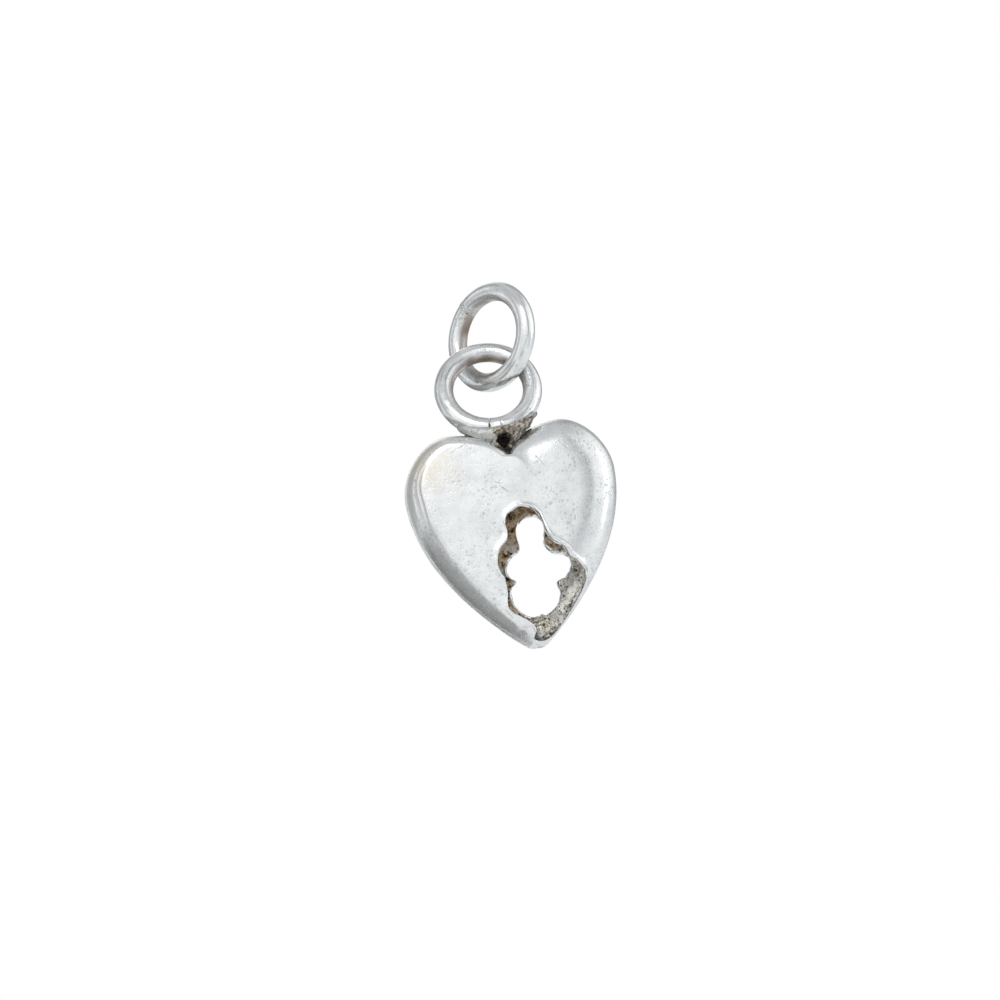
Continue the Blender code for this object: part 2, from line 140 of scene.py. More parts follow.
# Marks on the rings: turn along the ring and round the wire in degrees, half length along and
# half width round the wire and depth in millimetres, and how dark
RING_MARKS = {
    "upper_ring": [
        (117, 302, 0.16, 0.07, 0.020, 0.90), (326, 318, 0.30, 0.10, 0.030, 0.65),
        (253, 272, 0.12, 0.10, 0.020, 0.10), (312, 318, 0.08, 0.05, 0.010, 0.70),
        (172, 268, 0.05, 0.05, 0.010, 0.60), (84, 264, 0.40, 0.03, 0.006, 0.45),
        (30, 300, 0.60, 0.03, 0.006, 0.40), (215, 290, 0.30, 0.03, 0.006, 0.45),
        (143, 250, 0.10, 0.06, 0.012, 0.65), (98, 70, 0.30, 0.05, 0.012, 0.50),
        (205, 95, 0.15, 0.07, 0.015, 0.60), (330, 80, 0.45, 0.03, 0.006, 0.45),
    ],
    "lower_ring": [
        (81, 256, 0.07, 0.05, 0.012, 0.75), (68, 254, 0.06, 0.05, 0.012, 0.75),
        (56, 254, 0.07, 0.05, 0.012, 0.75), (74, 246, 0.70, 0.03, 0.006, 0.50),
        (275, 288, 0.05, 0.20, 0.025, 0.90), (266, 282, 0.34, 0.24, 0.030, 0.00),
        (347, 288, 0.60, 0.03, 0.010, 0.55), (108, 222, 0.45, 0.14, 0.010, 0.60),
        (172, 310, 0.06, 0.05, 0.012, 0.70), (196, 280, 0.30, 0.03, 0.006, 0.45),
        (20, 70, 0.35, 0.04, 0.010, 0.50), (130, 95, 0.12, 0.07, 0.015, 0.60),
        (230, 80, 0.50, 0.03, 0.008, 0.50),
    ],
}

# Cards that the silver mirrors: turn from the front to the right and height as ranges in
# degrees, softness of the edges in degrees, and depth of the grey
GREY_CARDS = [
    ((-40, 18), (-30, 45), 10, 0.07),
    ((16, 40), (-28, 62), 2, 0.24),
    ((22, 40), (-28, 62), 2, 0.48),
    ((28, 40), (-28, 62), 1.5, 0.70),
    ((118, 166), (-30, 75), 7, 0.66),
    ((-96, -62), (-30, 60), 7, 0.52),
    ((-166, -110), (-30, 75), 8, 0.66),
    ((-181, 181), (46, 91), 9, 0.46),
]

# Corners of the low card, in metres from the middle of the picture
LOW_CARD = [
    (-0.50, -0.42, -0.092), (-0.22, -0.26, -0.092), (-0.064, 0.036, -0.092),
    (-0.050, 0.25, -0.092), (-0.042, 1.20, -0.092), (-0.50, 1.20, -0.092),
]
FLOOR_SIZE = 3.0

# Soft lamps: place from the middle of the picture and size in metres, and power in watts
LAMPS = [
    ("key", (-0.10, -0.42, 0.30), (0.22, 0.16), 0.40),
    ("right_strip", (0.42, -0.08, 0.06), (0.06, 0.30), 0.10),
]

# The camera's sensor, a point on the face from the notch, and how far that point lies to the
# right of the picture's middle and above it, in millimetres
SENSOR = 36.0
AIM = (0, -1.2, -0.15)
PICTURE_MIDDLE = (0.42, 2.81)


def length(name, description, default):
    """A size in metres, shown in the scene's own unit."""
    return FloatProperty(name=name, description=description, default=default,
                         unit="LENGTH", precision=6, min=0.0)


def degrees(name, description, default):
    """An angle whose default is given in degrees."""
    return FloatProperty(name=name, description=description, default=math.radians(default),
                         subtype="ANGLE")


def colour(name, description, default):
    return FloatVectorProperty(name=name, description=description, default=default,
                               subtype="COLOR", size=3, min=0.0, max=1.0)


class CharmShape(PropertyGroup):
    """Sizes of the heart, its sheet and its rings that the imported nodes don't give."""

    lobe_spread: length("Lobe spread", "Between the tops of the two lobes", 6.8 * MM)
    lobe_rise: length("Lobe rise", "From the notch up to the tops of the lobes", 1.6 * MM)
    widest_drop: length("Widest drop", "From the notch down to the widest place", 2.0 * MM)
    tip_width: length("Tip width", "Across the blunt end of the tip", 1.1 * MM)
    tip_round: length("Tip round", "Height of the blunt end of the tip", 0.18 * MM)
    shoulder_reach: length("Shoulder reach", "How far in the rounded shoulder ends", 1.5 * MM)
    shoulder_rise: length("Shoulder rise", "Height of the shoulder over its land", 1.83 * MM)
    rim_land: length("Rim land", "Straight band next to the seam", 0.15 * MM)
    crown: length("Crown", "How far the middle of the face stands over its edge", 0.35 * MM)
    sheet: length("Sheet", "Thickness of the sheet", 0.45 * MM)
    lip: length("Lip", "Rounding of the pierced edge", 0.09 * MM)
    bead: length("Bead", "Height of the burr round the opening", 0.065 * MM)
    wobble: length("Wobble", "Depth of the soft dents of the struck face", 0.014 * MM)
    chew: length("Chew", "Raggedness of the pierced edges", 0.045 * MM)
    grain: length("Grain", "Height of the grains inside the heart", 0.21 * MM)
    seam_gap: length("Seam gap", "Half of the groove left where the shells meet", 0.012 * MM)
    lower_joint: degrees("Lower joint", "Place of the lower ring's joint", -100)
    upper_joint: degrees("Upper joint", "Place of the upper ring's joint", 127)
    lower_gap: length("Lower joint gap", "Width of the hairline in the lower ring", 0.05 * MM)
    upper_gap: length("Upper joint gap", "Width of the soldered joint", 0.34 * MM)


class CharmFinish(PropertyGroup):
    """Colours and gloss of the metals."""

    silver: colour("Silver", "Clean, worn silver", (0.90, 0.92, 0.925))
    grey_silver: colour("Grey silver", "Silver that has dulled", (0.68, 0.70, 0.71))
    dirt: colour("Dirt", "Grey dirt in the specks and scratches", (0.30, 0.32, 0.34))
    cream: colour("Cream", "Warm tint on the left lobe", (0.86, 0.76, 0.62))
    solder: colour("Solder", "Solder where it is rubbed bright", (0.66, 0.67, 0.64))
    beige: colour("Beige", "Pale deposit on the grains", (0.53, 0.49, 0.39))
    olive: colour("Olive tarnish", "Thin tarnish inside the heart", (0.30, 0.26, 0.18))
    rust: colour("Rusty tarnish", "Brown deposit at the top inside", (0.62, 0.38, 0.17))
    tan: colour("Tan", "Brown deposit where it is rubbed", (0.96, 0.74, 0.48))
    brown: colour("Brown tarnish", "Thick tarnish inside the heart", (0.17, 0.10, 0.05))
    black: colour("Black tarnish", "Tarnish in pits and corners", (0.022, 0.018, 0.014))
    # Pale deposit, partly painted light where light falls into the heart on the lower right
    pale_and_lit: colour("Pale deposit", "Chalky metal on the lower right inside", (0.97, 0.95, 0.89))
    smooth: colour("Smooth solder", "Solder that was filed smooth", (0.50, 0.51, 0.50))
    stain: colour("Stain", "Orange stain at the end of the solder", (0.50, 0.28, 0.12))
    gloss: FloatProperty(name="Roughness", description="Roughness of the worn silver",
                         default=0.24, min=0.0, max=1.0, subtype="FACTOR")


class CharmStage(PropertyGroup):
    """Camera, floor and lamps."""

    azimuth: degrees("Azimuth", "Camera's turn to the left of the front", 8)
    elevation: degrees("Elevation", "Camera's height, below if negative", -8)
    roll: degrees("Roll", "How far the charm leans left in the picture", 10.5)
    distance: length("Distance", "From the camera to the charm", 0.40)
    view_width: length("View width", "Width of the picture at the charm", 61.0 * MM)
    floor_drop: length("Floor drop", "From the charm's tip down to the floor", 0.085)
    background: colour("Background", "Colour behind the charm", (1.0, 1.0, 1.0))
    card: colour("Card", "Colour of the cards that the silver mirrors", (0.12, 0.13, 0.14))
    low_card: colour("Low card", "Colour of the card below on the left", (0.34, 0.33, 0.32))
    light: colour("Light", "Light that fills the studio", (0.86, 0.88, 0.90))
    floor: colour("Floor", "Colour of the floor", (0.88, 0.88, 0.87))


class CharmSettings(PropertyGroup):
    shape: PointerProperty(type=CharmShape)
    finish: PointerProperty(type=CharmFinish)
    stage: PointerProperty(type=CharmStage)
    fineness: IntProperty(name="Fineness", description="Steps round the heart's opening",
                          default=900, min=60)


# The heart's outline and section

def heart_sizes(shape):
    """Width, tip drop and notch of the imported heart."""
    low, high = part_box("front_shell")
    back_low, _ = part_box("back_shell")
    tip_drop = high.z - low.z - shape.lobe_rise
    notch = Vector(((low.x + high.x) / 2, (high.y + back_low.y) / 2, low.z + tip_drop))
    return high.x - low.x, tip_drop, notch


def half_outline(shape, steps):
    """Right half of the heart, from the notch over the lobe and down to the tip."""
    width, tip_drop, _ = heart_sizes(shape)
    side = width / 2
    lobe = shape.lobe_spread / 2
    rise = shape.lobe_rise
    tip_side = shape.tip_width / 2
    tip_start = tip_drop - shape.tip_round
    # Each stretch as its start, its two handles and its end
    knots = [
        ((0, 0), (0.17 * lobe, 0.55 * rise), (0.60 * lobe, rise), (lobe, rise)),
        ((lobe, rise), (lobe + 0.50 * (side - lobe), rise),
         (side, -0.10 * shape.widest_drop), (side, -shape.widest_drop)),
        ((side, -shape.widest_drop), (side, -shape.widest_drop - 0.30 * tip_start),
         (tip_side + 0.57 * (side - tip_side), -0.765 * tip_start), (tip_side, -tip_start)),
        ((tip_side, -tip_start), (0.55 * tip_side, -tip_drop + 0.20 * shape.tip_round),
         (0.30 * tip_side, -tip_drop), (0, -tip_drop)),
    ]
    points = [(0.0, 0.0)]
    for knot in knots:
        points += [tuple(p) for p in interpolate_bezier(*[Vector(k) for k in knot], steps)[1:]]
    return np.array([p[:2] for p in points])


def step_lengths(points):
    return np.linalg.norm(np.diff(points, axis=0), axis=1)


def running_total(steps):
    """Distances along a run of steps, from 0."""
    return np.concatenate([[0.0], np.cumsum(steps)])


def sampled(wanted, along, points):
    """Points at wanted distances, between points that lie at known ones."""
    return np.stack([np.interp(wanted, along, values) for values in points.T], 1)


def even_points(points, count):
    """count points at equal steps along an open run of points, both ends kept."""
    along = running_total(step_lengths(points))
    return sampled(np.linspace(0.0, along[-1], count), along, points)


def opening_outline(points, count):
    """Smooth closed curve through the points of an opening, in metres."""
    curve = bpy.data.curves.new("opening", "CURVE")
    curve.dimensions = "2D"
    curve.fill_mode = "NONE"
    curve.resolution_u = 24
    spline = curve.splines.new("BEZIER")
    spline.bezier_points.add(len(points) - 1)
    for knot, (across, up) in zip(spline.bezier_points, points):
        knot.co = (across * MM, up * MM, 0)
        knot.handle_left_type = knot.handle_right_type = "AUTO"
    spline.use_cyclic_u = True
    item = add_object("opening", curve)
    run = vertex_values(evaluated_mesh(item))[:, :2]
    bpy.data.objects.remove(item, do_unlink=True)
    bpy.data.curves.remove(curve)
    return even_points(np.vstack([run, run[:1]]), count)[:-1]


class EdgeDistance:
    """How far a point lies in from the heart's edge, smooth across the ridge to the tip."""

    SPACING = 0.012 * MM
    RIDGE = 0.35 * MM
    # Where down the heart the ridge starts to be smooth and over how much it grows, as shares
    RIDGE_START = 0.35
    RIDGE_GROWTH = 0.3

    def __init__(self, half):
        count = int(step_lengths(half).sum() / self.SPACING)
        run = even_points(half, count)
        self.trees = []
        for mirror in (1, -1):
            tree = kdtree.KDTree(count)
            for index, (x, z) in enumerate(run):
                tree.insert((mirror * x, z, 0), index)
            tree.balance()
            self.trees.append(tree)
        self.tip = half[-1][1]

    def __call__(self, points):
        distances = []
        for x, z in points:
            right, left = [tree.find((x, z, 0))[2] for tree in self.trees]
            low = min(right, left)
            down = max(z / self.tip - self.RIDGE_START, 0.0)
            spread = self.RIDGE * min(down / self.RIDGE_GROWTH, 1.0)
            overlap = max(spread - abs(right - left), 0.0)
            distances.append(low - (overlap ** 2 / (4 * spread) if spread else 0.0))
        return np.array(distances)


def bump(value, width):
    """A soft hump of height 1 at zero."""
    return np.exp(-(value / width) ** 2)


def past(values, place, width):
    """0 to 1 where values pass a place over a width, and 1 to 0 if the width is negative."""
    return np.clip(0.5 + (values - place) / width, 0, 1)


def wrapped(turn):
    """An angle as a turn of half a circle at most, either way."""
    return (turn + math.pi) % math.tau - math.pi


def shoulder_reach(shape, rim):
    """How far in the shoulder ends: worn wide on the right, tight on the left and in corners."""
    across, up = rim.T
    right = past(across, 0, 3 * MM)
    right = right * right * (3 - 2 * right)
    notch = bump(np.hypot(across, up), 1.5 * MM)
    tip = bump(up - up.min(), 2.2 * MM)
    left = 0.62 + 0.24 * bump(up + 4.0 * MM, 2.6 * MM)
    share = left + (1.65 - left) * right
    share *= (1 - 0.66 * notch) * (1 - (0.62 - 0.17 * right) * tip)
    return shape.shoulder_reach * share


def shoulder_at(shape, reach, angle):
    """Inset and rise of the shoulder, and its outward normal, at an angle from the seam."""
    power = 2 / SHOULDER_POWER
    cos = np.clip(np.cos(angle), 1e-4, 1)
    sin = np.clip(np.sin(angle), 1e-4, 1)
    inset = reach * (1 - cos ** power)
    rise = shape.shoulder_rise * sin ** power
    outward = shape.shoulder_rise * cos ** (2 - power)
    upward = reach * sin ** (2 - power)
    size = np.hypot(outward, upward)
    return inset, rise, outward / size, upward / size


def crown_share(shape, points):
    """Extra height of the faintly domed face as a share of its own height."""
    width, tip_drop, _ = heart_sizes(shape)
    middle = -0.37 * tip_drop
    across = points[..., 0] / (width / 2)
    along = (points[..., 1] - middle) / (tip_drop + middle)
    full = shape.shoulder_rise + shape.rim_land
    return shape.crown / full * np.clip(1 - across ** 2 - along ** 2, 0, None)


# Meshes from runs of points

def noise_at(points, size, seed):
    """Smooth noise from -1 to 1 at each point, its lumps about as wide as size."""
    shift = Vector((seed * 7.31, seed * 3.17, seed * 5.83))
    scale = 1 / size
    return np.array([noise.noise(Vector(p) * scale + shift) for p in points])


def grid_faces(loops, steps, closed):
    """Quads between loops of equal count, the loops joined in a ring if closed."""
    faces = []
    for low in range(loops if closed else loops - 1):
        high = (low + 1) % loops
        for step in range(steps):
            after = (step + 1) % steps
            faces.append((low * steps + step, low * steps + after,
                          high * steps + after, high * steps + step))
    return faces


def vertex_values(mesh, label="co"):
    """The places of a mesh's vertices, or their normals."""
    values = np.zeros(len(mesh.vertices) * 3)
    mesh.vertices.foreach_get(label, values)
    return values.reshape(-1, 3)


def evaluated_mesh(item):
    """The mesh that an object's curve or modifiers give."""
    bpy.context.view_layer.update()
    return item.evaluated_get(bpy.context.evaluated_depsgraph_get()).to_mesh()


def outward_mesh(name, points, faces):
    """A closed mesh whose faces point out."""
    mesh = bpy.data.meshes.new(name)
    mesh.from_pydata(points.tolist(), [], faces)
    mesh.update()
    mesh.calc_loop_triangles()
    corners = np.zeros(len(mesh.loop_triangles) * 3, dtype=np.int32)
    mesh.loop_triangles.foreach_get("vertices", corners)
    spots = vertex_values(mesh)
    a, b, c = [spots[corners[k::3]] for k in range(3)]
    if (a * np.cross(b, c)).sum() < 0:
        mesh.flip_normals()
    return mesh


def vertex_normals(points, faces):
    """Outward unit normals of a closed mesh at its points."""
    mesh = outward_mesh("normals", points, faces)
    normals = vertex_values(mesh, "normal")
    bpy.data.meshes.remove(mesh)
    return normals


def raised(points, faces, height):
    """Points moved out along their normals."""
    return points + vertex_normals(points, faces) * height[:, None]


def add_object(name, data):
    """Puts an object with this data in the scene."""
    item = bpy.data.objects.new(name, data)
    bpy.context.scene.collection.objects.link(item)
    return item


def add_piece(name, points, faces, masks, material, body, node):
    """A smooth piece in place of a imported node, with a float attribute for each mask."""
    mesh = outward_mesh(name, points, faces)
    for label, values in masks.items():
        layer = mesh.attributes.new(label, "FLOAT", "POINT")
        layer.data.foreach_set("value", np.clip(values, 0, 1).astype(np.float32))
    mesh.shade_smooth()
    mesh.materials.append(find_material(material))
    piece = add_object(name, mesh)
    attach(piece, body)
    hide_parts(node)


# Node groups and materials

class Value:
    """What a node gives, which the plain signs of arithmetic can be used on."""

    def __init__(self, socket):
        self.socket = socket
        self.tree = socket.id_data

    def beside(self, label):
        """Another output of the same node."""
        return Value(self.socket.node.outputs[label])

    def __add__(self, other):
        return calculate("ADD", self, other)

    def __sub__(self, other):
        return calculate("SUBTRACT", self, other)

    def __rsub__(self, other):
        return calculate("SUBTRACT", other, self)

    def __mul__(self, other):
        return calculate("MULTIPLY", self, other)


def fill(socket, value):
    """Links a value to a socket, or sets the socket to a constant."""
    if isinstance(value, Value):
        value.tree.links.new(value.socket, socket)
    elif socket.type == "RGBA":
        socket.default_value = (*value, 1.0)
    else:
        socket.default_value = value


def put(tree, kind, inputs=None, output=0, **settings):
    """Adds a node, sets it up, fills its inputs and returns one of its outputs."""
    node = tree.nodes.new(kind)
    for label, value in settings.items():
        setattr(node, label, value)
    for label, value in (inputs or {}).items():
        fill(node.inputs[label], value)
    return Value(node.outputs[output])


def calculate(operation, first, second=0.0, clamp=False):
    """One step of arithmetic on two numbers, at least one of them a Value."""
    tree = first.tree if isinstance(first, Value) else second.tree
    return put(tree, "ShaderNodeMath", {0: first, 1: second}, operation=operation,
               use_clamp=clamp)


def larger(first, second):
    return calculate("MAXIMUM", first, second)


def vector(operation, first, second, output=0):
    """One step of arithmetic on two vectors, or on a vector and its scale."""
    slot = "Scale" if operation == "SCALE" else 1
    return put(first.tree, "ShaderNodeVectorMath", {0: first, slot: second}, output,
               operation=operation)


def between(value, low, high, to_low=0.0, to_high=1.0):
    """Maps a value smoothly from one range to another."""
    settings = {"Value": value, "From Min": low, "From Max": high,
                "To Min": to_low, "To Max": to_high}
    return put(value.tree, "ShaderNodeMapRange", settings, interpolation_type="SMOOTHSTEP")


def blend(share, first, second):
    """Mixes two colours."""
    return put(share.tree, "ShaderNodeMix", {0: share, 6: first, 7: second}, 2,
               data_type="RGBA")


def mix(share, first, second):
    """Mixes two numbers."""
    return put(share.tree, "ShaderNodeMix", {0: share, 2: first, 3: second})


def place_in_mm(tree):
    """The point on the piece, in millimetres."""
    return vector("SCALE", put(tree, "ShaderNodeTexCoord", output="Object"), 1 / MM)


def wave(place, scale, detail=2.0, roughness=0.5):
    """Soft noise round 0.5 with scale lumps to the unit of place."""
    return put(place.tree, "ShaderNodeTexNoise",
               {"Vector": place, "Scale": scale, "Detail": detail, "Roughness": roughness},
               "Fac")


def ramp(value, stops):
    """Colours a value from stops of (place, colour)."""
    result = put(value.tree, "ShaderNodeValToRGB", {0: value})
    band = result.socket.node.color_ramp
    while len(band.elements) < len(stops):
        band.elements.new(1.0)
    for element, (place, shade) in zip(band.elements, stops):
        element.position = place
        element.color = (*shade, 1.0)
    return result


def new_group(name, inputs, outputs):
    """An empty group with inputs of {name: default}: its tree, its inputs and its end."""
    tree = bpy.data.node_groups.new(name, "ShaderNodeTree")
    for label, default in inputs.items():
        kind = "NodeSocketVector" if isinstance(default, tuple) else "NodeSocketFloat"
        socket = tree.interface.new_socket(label, in_out="INPUT", socket_type=kind)
        socket.default_value = default
    for label in outputs:
        kind = "NodeSocketColor" if label == "Color" else "NodeSocketFloat"
        tree.interface.new_socket(label, in_out="OUTPUT", socket_type=kind)
    start = tree.nodes.new("NodeGroupInput")
    given = {label: Value(start.outputs[label]) for label in inputs}
    return tree, given, tree.nodes.new("NodeGroupOutput")


def group_node(tree, name, inputs):
    """Puts a shared group in a tree and returns its first output."""
    return put(tree, "ShaderNodeGroup", inputs, node_tree=bpy.data.node_groups[name])


def specks_group():
    """Small soft pits, more of them where a wide cloud lies."""
    tree, given, end = new_group("specks", {"Fineness": 3.2, "Cover": 0.5}, ["Mask"])
    place = place_in_mm(tree)
    bent = vector("ADD", place, vector("SCALE", wave(place, 5.0).beside("Color"), 0.22))
    cells = put(tree, "ShaderNodeTexVoronoi", {"Vector": bent, "Scale": given["Fineness"]},
                "Distance")
    chance = put(tree, "ShaderNodeSeparateXYZ", {0: cells.beside("Color")}, "X")
    cloud = between(wave(place, 0.55), 0.36, 0.66)
    size = (cloud + given["Cover"]) * chance * 0.27
    fill(end.inputs["Mask"], between(cells - size, -0.12, 0.06, 1.0, 0.0))


def hairlines_group():
    """Fine scratches that run in two directions."""
    tree, given, end = new_group("hairlines", {"Width": 0.02}, ["Mask"])
    place = place_in_mm(tree)
    masks = []
    for turn, stretch in (((0.2, 0.5, 0.4), (0.22, 2.6, 2.9)),
                          ((0.1, -0.9, 0.3), (0.30, 3.4, 2.3))):
        turned = put(tree, "ShaderNodeMapping",
                     {"Vector": place, "Rotation": turn, "Scale": stretch})
        off = calculate("ABSOLUTE", wave(turned, 1.0) - 0.5)
        masks.append(between(off, 0.0, given["Width"], 1.0, 0.0))
    gate = between(wave(place, 0.8), 0.50, 0.62)
    fill(end.inputs["Mask"], larger(*masks) * gate)


def scratch_group():
    """One straight scratch between two points of the face, across and up in millimetres."""
    tree, given, end = new_group(
        "scratch", {"From": (0, 0, 0), "To": (0, 0, 1), "Width": 0.04}, ["Mask"])
    flat = vector("MULTIPLY", place_in_mm(tree), (1, 0, 1))
    run = vector("SUBTRACT", given["To"], given["From"])
    away = vector("SUBTRACT", flat, given["From"])
    share = calculate("DIVIDE", vector("DOT_PRODUCT", away, run, "Value"),
                      vector("DOT_PRODUCT", run, run, "Value"), clamp=True)
    distance = vector("DISTANCE", away, vector("SCALE", run, share), "Value")
    from_middle = (share - 0.5) * 2.0
    width = given["Width"] * (1.05 - from_middle * from_middle)
    fill(end.inputs["Mask"], between(distance, 0.0, width, 1.0, 0.0))


def tarnish_group(finish):
    """Grains of metal in tarnish: black pits, brown and olive film, rubbed grey tops, with
    painted shade on the low grains and painted light on the high ones.
    """
    tree, given, end = new_group("tarnish", {"Rise": 0.5, "Clean": 0.5, "Rust": 0.0},
                                 ["Color", "Shine", "Height"])
    place = place_in_mm(tree)
    fine = wave(place, 4.0, 5.0, 0.72)
    cells = put(tree, "ShaderNodeTexVoronoi", {"Vector": place, "Scale": 4.8}, "Distance")
    pits = larger(between(cells, 0.10, 0.30, 1.0, 0.0),
                  group_node(tree, "specks", {"Fineness": 3.3, "Cover": 1.15}))
    # Low grains darker and high grains lighter: tarnish and rubbing, partly painted shade in the
    # hollows and painted light on the tops
    level = given["Rise"] * 0.62 + fine * 1.95 - 0.88 + given["Clean"] * 0.42 - pits * 0.58
    grey = ramp(level, [
        (0.12, finish.black), (0.26, finish.brown), (0.40, finish.olive),
        (0.55, finish.beige), (0.74, finish.solder)])
    brown = ramp(level, [
        (0.10, finish.black), (0.24, finish.brown), (0.42, finish.rust), (0.66, finish.tan)])
    fill(end.inputs["Color"], blend(given["Rust"], grey, brown))
    fill(end.inputs["Shine"], between(level, 0.25, 0.65))
    fill(end.inputs["Height"], fine - pits * 0.35)


def mask_of(tree, label):
    """A float that the piece's mesh carries."""
    return put(tree, "ShaderNodeAttribute", output="Fac", attribute_name=label)


def start_material(name):
    """A new material's node tree and its shader."""
    material = bpy.data.materials.new(name)
    material.use_nodes = True
    return material.node_tree, material.node_tree.nodes["Principled BSDF"]


def finish_material(shader, tone, rough, metal, height, depth):
    """Fills the shader; the height from 0 to 1, worth depth metres, goes to its normal."""
    bumped = put(height.tree, "ShaderNodeBump", {"Height": height, "Distance": depth,
                                                 "Strength": 1.0})
    for label, value in (("Base Color", tone), ("Roughness", rough), ("Metallic", metal),
                         ("Normal", bumped)):
        fill(shader.inputs[label], value)


def worn_silver(tree, finish, cover):
    """Colour, roughness and height of worn silver: clouds, specks and hairlines."""
    place = place_in_mm(tree)
    cloud = wave(place, 1.1, 4.0, 0.55)
    mottle = wave(place, 4.6, 3.0, 0.6)
    specks = group_node(tree, "specks", {"Fineness": 3.6, "Cover": cover})
    dust = group_node(tree, "specks", {"Fineness": 6.4, "Cover": cover + 0.25})
    lines = group_node(tree, "hairlines", {"Width": 0.016})
    marks = larger(larger(specks, dust * 0.75), lines * 0.35)
    tone = blend(between(cloud, 0.36, 0.66, 0.0, 0.42), finish.silver, finish.grey_silver)
    tone = blend(between(mottle, 0.45, 0.72, 0.0, 0.35), tone, finish.grey_silver)
    tone = blend(marks * 0.40, tone, finish.dirt)
    rough = between(mottle, 0.3, 0.75, finish.gloss - 0.05, finish.gloss + 0.09)
    return tone, rough + marks * 0.2, 1.0 - marks * 0.35


def ring_silver(finish):
    """Round wire, a little more rubbed than the heart; its deep places are darkened brown: dirt
    at the joint, tarnish and painted shade on the inner side and where the other ring touches.
    """
    tree, shader = start_material("ring_silver")
    tone, rough, height = worn_silver(tree, finish, 0.45)
    deep = mask_of(tree, "deep")
    tone = blend(mask_of(tree, "line"), tone, finish.dirt)
    # Deep places darkened brown: dirt, tarnish and painted shade
    tone = blend(deep * 0.85, tone, finish.brown)
    finish_material(shader, tone, rough - 0.06 + deep * 0.3, 1.0 - deep * 0.5, height,
                    0.012 * MM)


def heart_silver(finish):
    """Struck sheet: worn outside, tarnished inside, its pierced edge rubbed bright."""
    tree, shader = start_material("heart_silver")
    tone, rough, height = worn_silver(tree, finish, 0.70)
    lip = mask_of(tree, "lip")
    scratched = mask_of(tree, "line")
    _, _, notch = heart_sizes(bpy.context.scene.heart_charm.shape)
    for start, end, width in SCRATCHES:
        spots = {label: (notch.x / MM + across, 0, notch.z / MM + up)
                 for label, (across, up) in (("From", start), ("To", end))}
        scratched = larger(scratched, group_node(tree, "scratch", {**spots, "Width": width}))
    tone = blend(mask_of(tree, "warm"), tone, finish.cream)
    tone = blend(scratched * 0.6, tone, finish.dirt)
    tone = blend(lip * 0.8, tone, finish.silver)
    tarnish = group_node(tree, "tarnish", {label.title(): mask_of(tree, label)
                                           for label in ("rise", "clean", "rust")})
    shine = tarnish.beside("Shine")
    # Pale deposit on the lower right inside, partly painted light
    pale_and_lit = mask_of(tree, "pale_and_lit") * shine
    metal = calculate("SUBTRACT", between(shine, 0.0, 1.0, 0.05, 0.28), pale_and_lit * 0.3, clamp=True)
    dull = between(shine, 0.0, 1.0, 0.72, 0.38)
    inside = calculate("SUBTRACT", mask_of(tree, "inside"), lip * 0.35, clamp=True)
    spread = between(inside, 0.12, 0.62)
    finish_material(
        shader, blend(spread, tone, blend(pale_and_lit, tarnish, finish.pale_and_lit)),
        mix(spread, rough - lip * 0.07, dull), mix(spread, 1.0, metal),
        mix(spread, (height - scratched * 0.5) * 0.5, tarnish.beside("Height") * 2.6),
        0.035 * MM)


def grainy_solder(name, finish, clean, filed, grey):
    """Solder: grains of metal in dirt with a share of grey, and filed smooth in places."""
    tree, shader = start_material(name)
    rise = mask_of(tree, "rise")
    rubbed = mask_of(tree, "clean")
    tarnish = group_node(tree, "tarnish", {"Rise": rise, "Clean": rubbed + clean})
    specks = group_node(tree, "specks", {"Fineness": 5.5, "Cover": 0.5})
    shine = tarnish.beside("Shine")
    # Pale solder on the lower right inside, partly painted light
    pale_and_lit = mask_of(tree, "pale_and_lit") * shine
    smooth = larger(between(rubbed, 0.55, 0.95), between(rise, -0.1, 0.25, 0.0, grey))
    tone = blend(smooth, tarnish, filed)
    tone = blend(pale_and_lit, tone, finish.pale_and_lit)
    tone = blend(mask_of(tree, "stain"), tone, finish.stain)
    tone = blend(specks * 0.65, tone, finish.black)
    metal = calculate("SUBTRACT", between(shine, 0.0, 1.0, 0.2, 1.0), pale_and_lit, clamp=True)
    finish_material(shader, tone, between(shine, 0.0, 1.0, 0.7, 0.34), metal,
                    tarnish.beside("Height") - specks * 0.4, 0.05 * MM)


def find_material(name):
    """One of the charm's materials, which are all built when the first is asked for."""
    if name not in bpy.data.materials:
        finish = bpy.context.scene.heart_charm.finish
        specks_group()
        hairlines_group()
        scratch_group()
        tarnish_group(finish)
        ring_silver(finish)
        heart_silver(finish)
        grainy_solder("grey_solder", finish, 0.07, finish.smooth, 0.27)
        grainy_solder("scar_solder", finish, 0.20, finish.grey_silver, 0.3)
        grainy_solder("dark_solder", finish, 0.15, finish.solder, 0.0)
    return bpy.data.materials[name]


# The shells

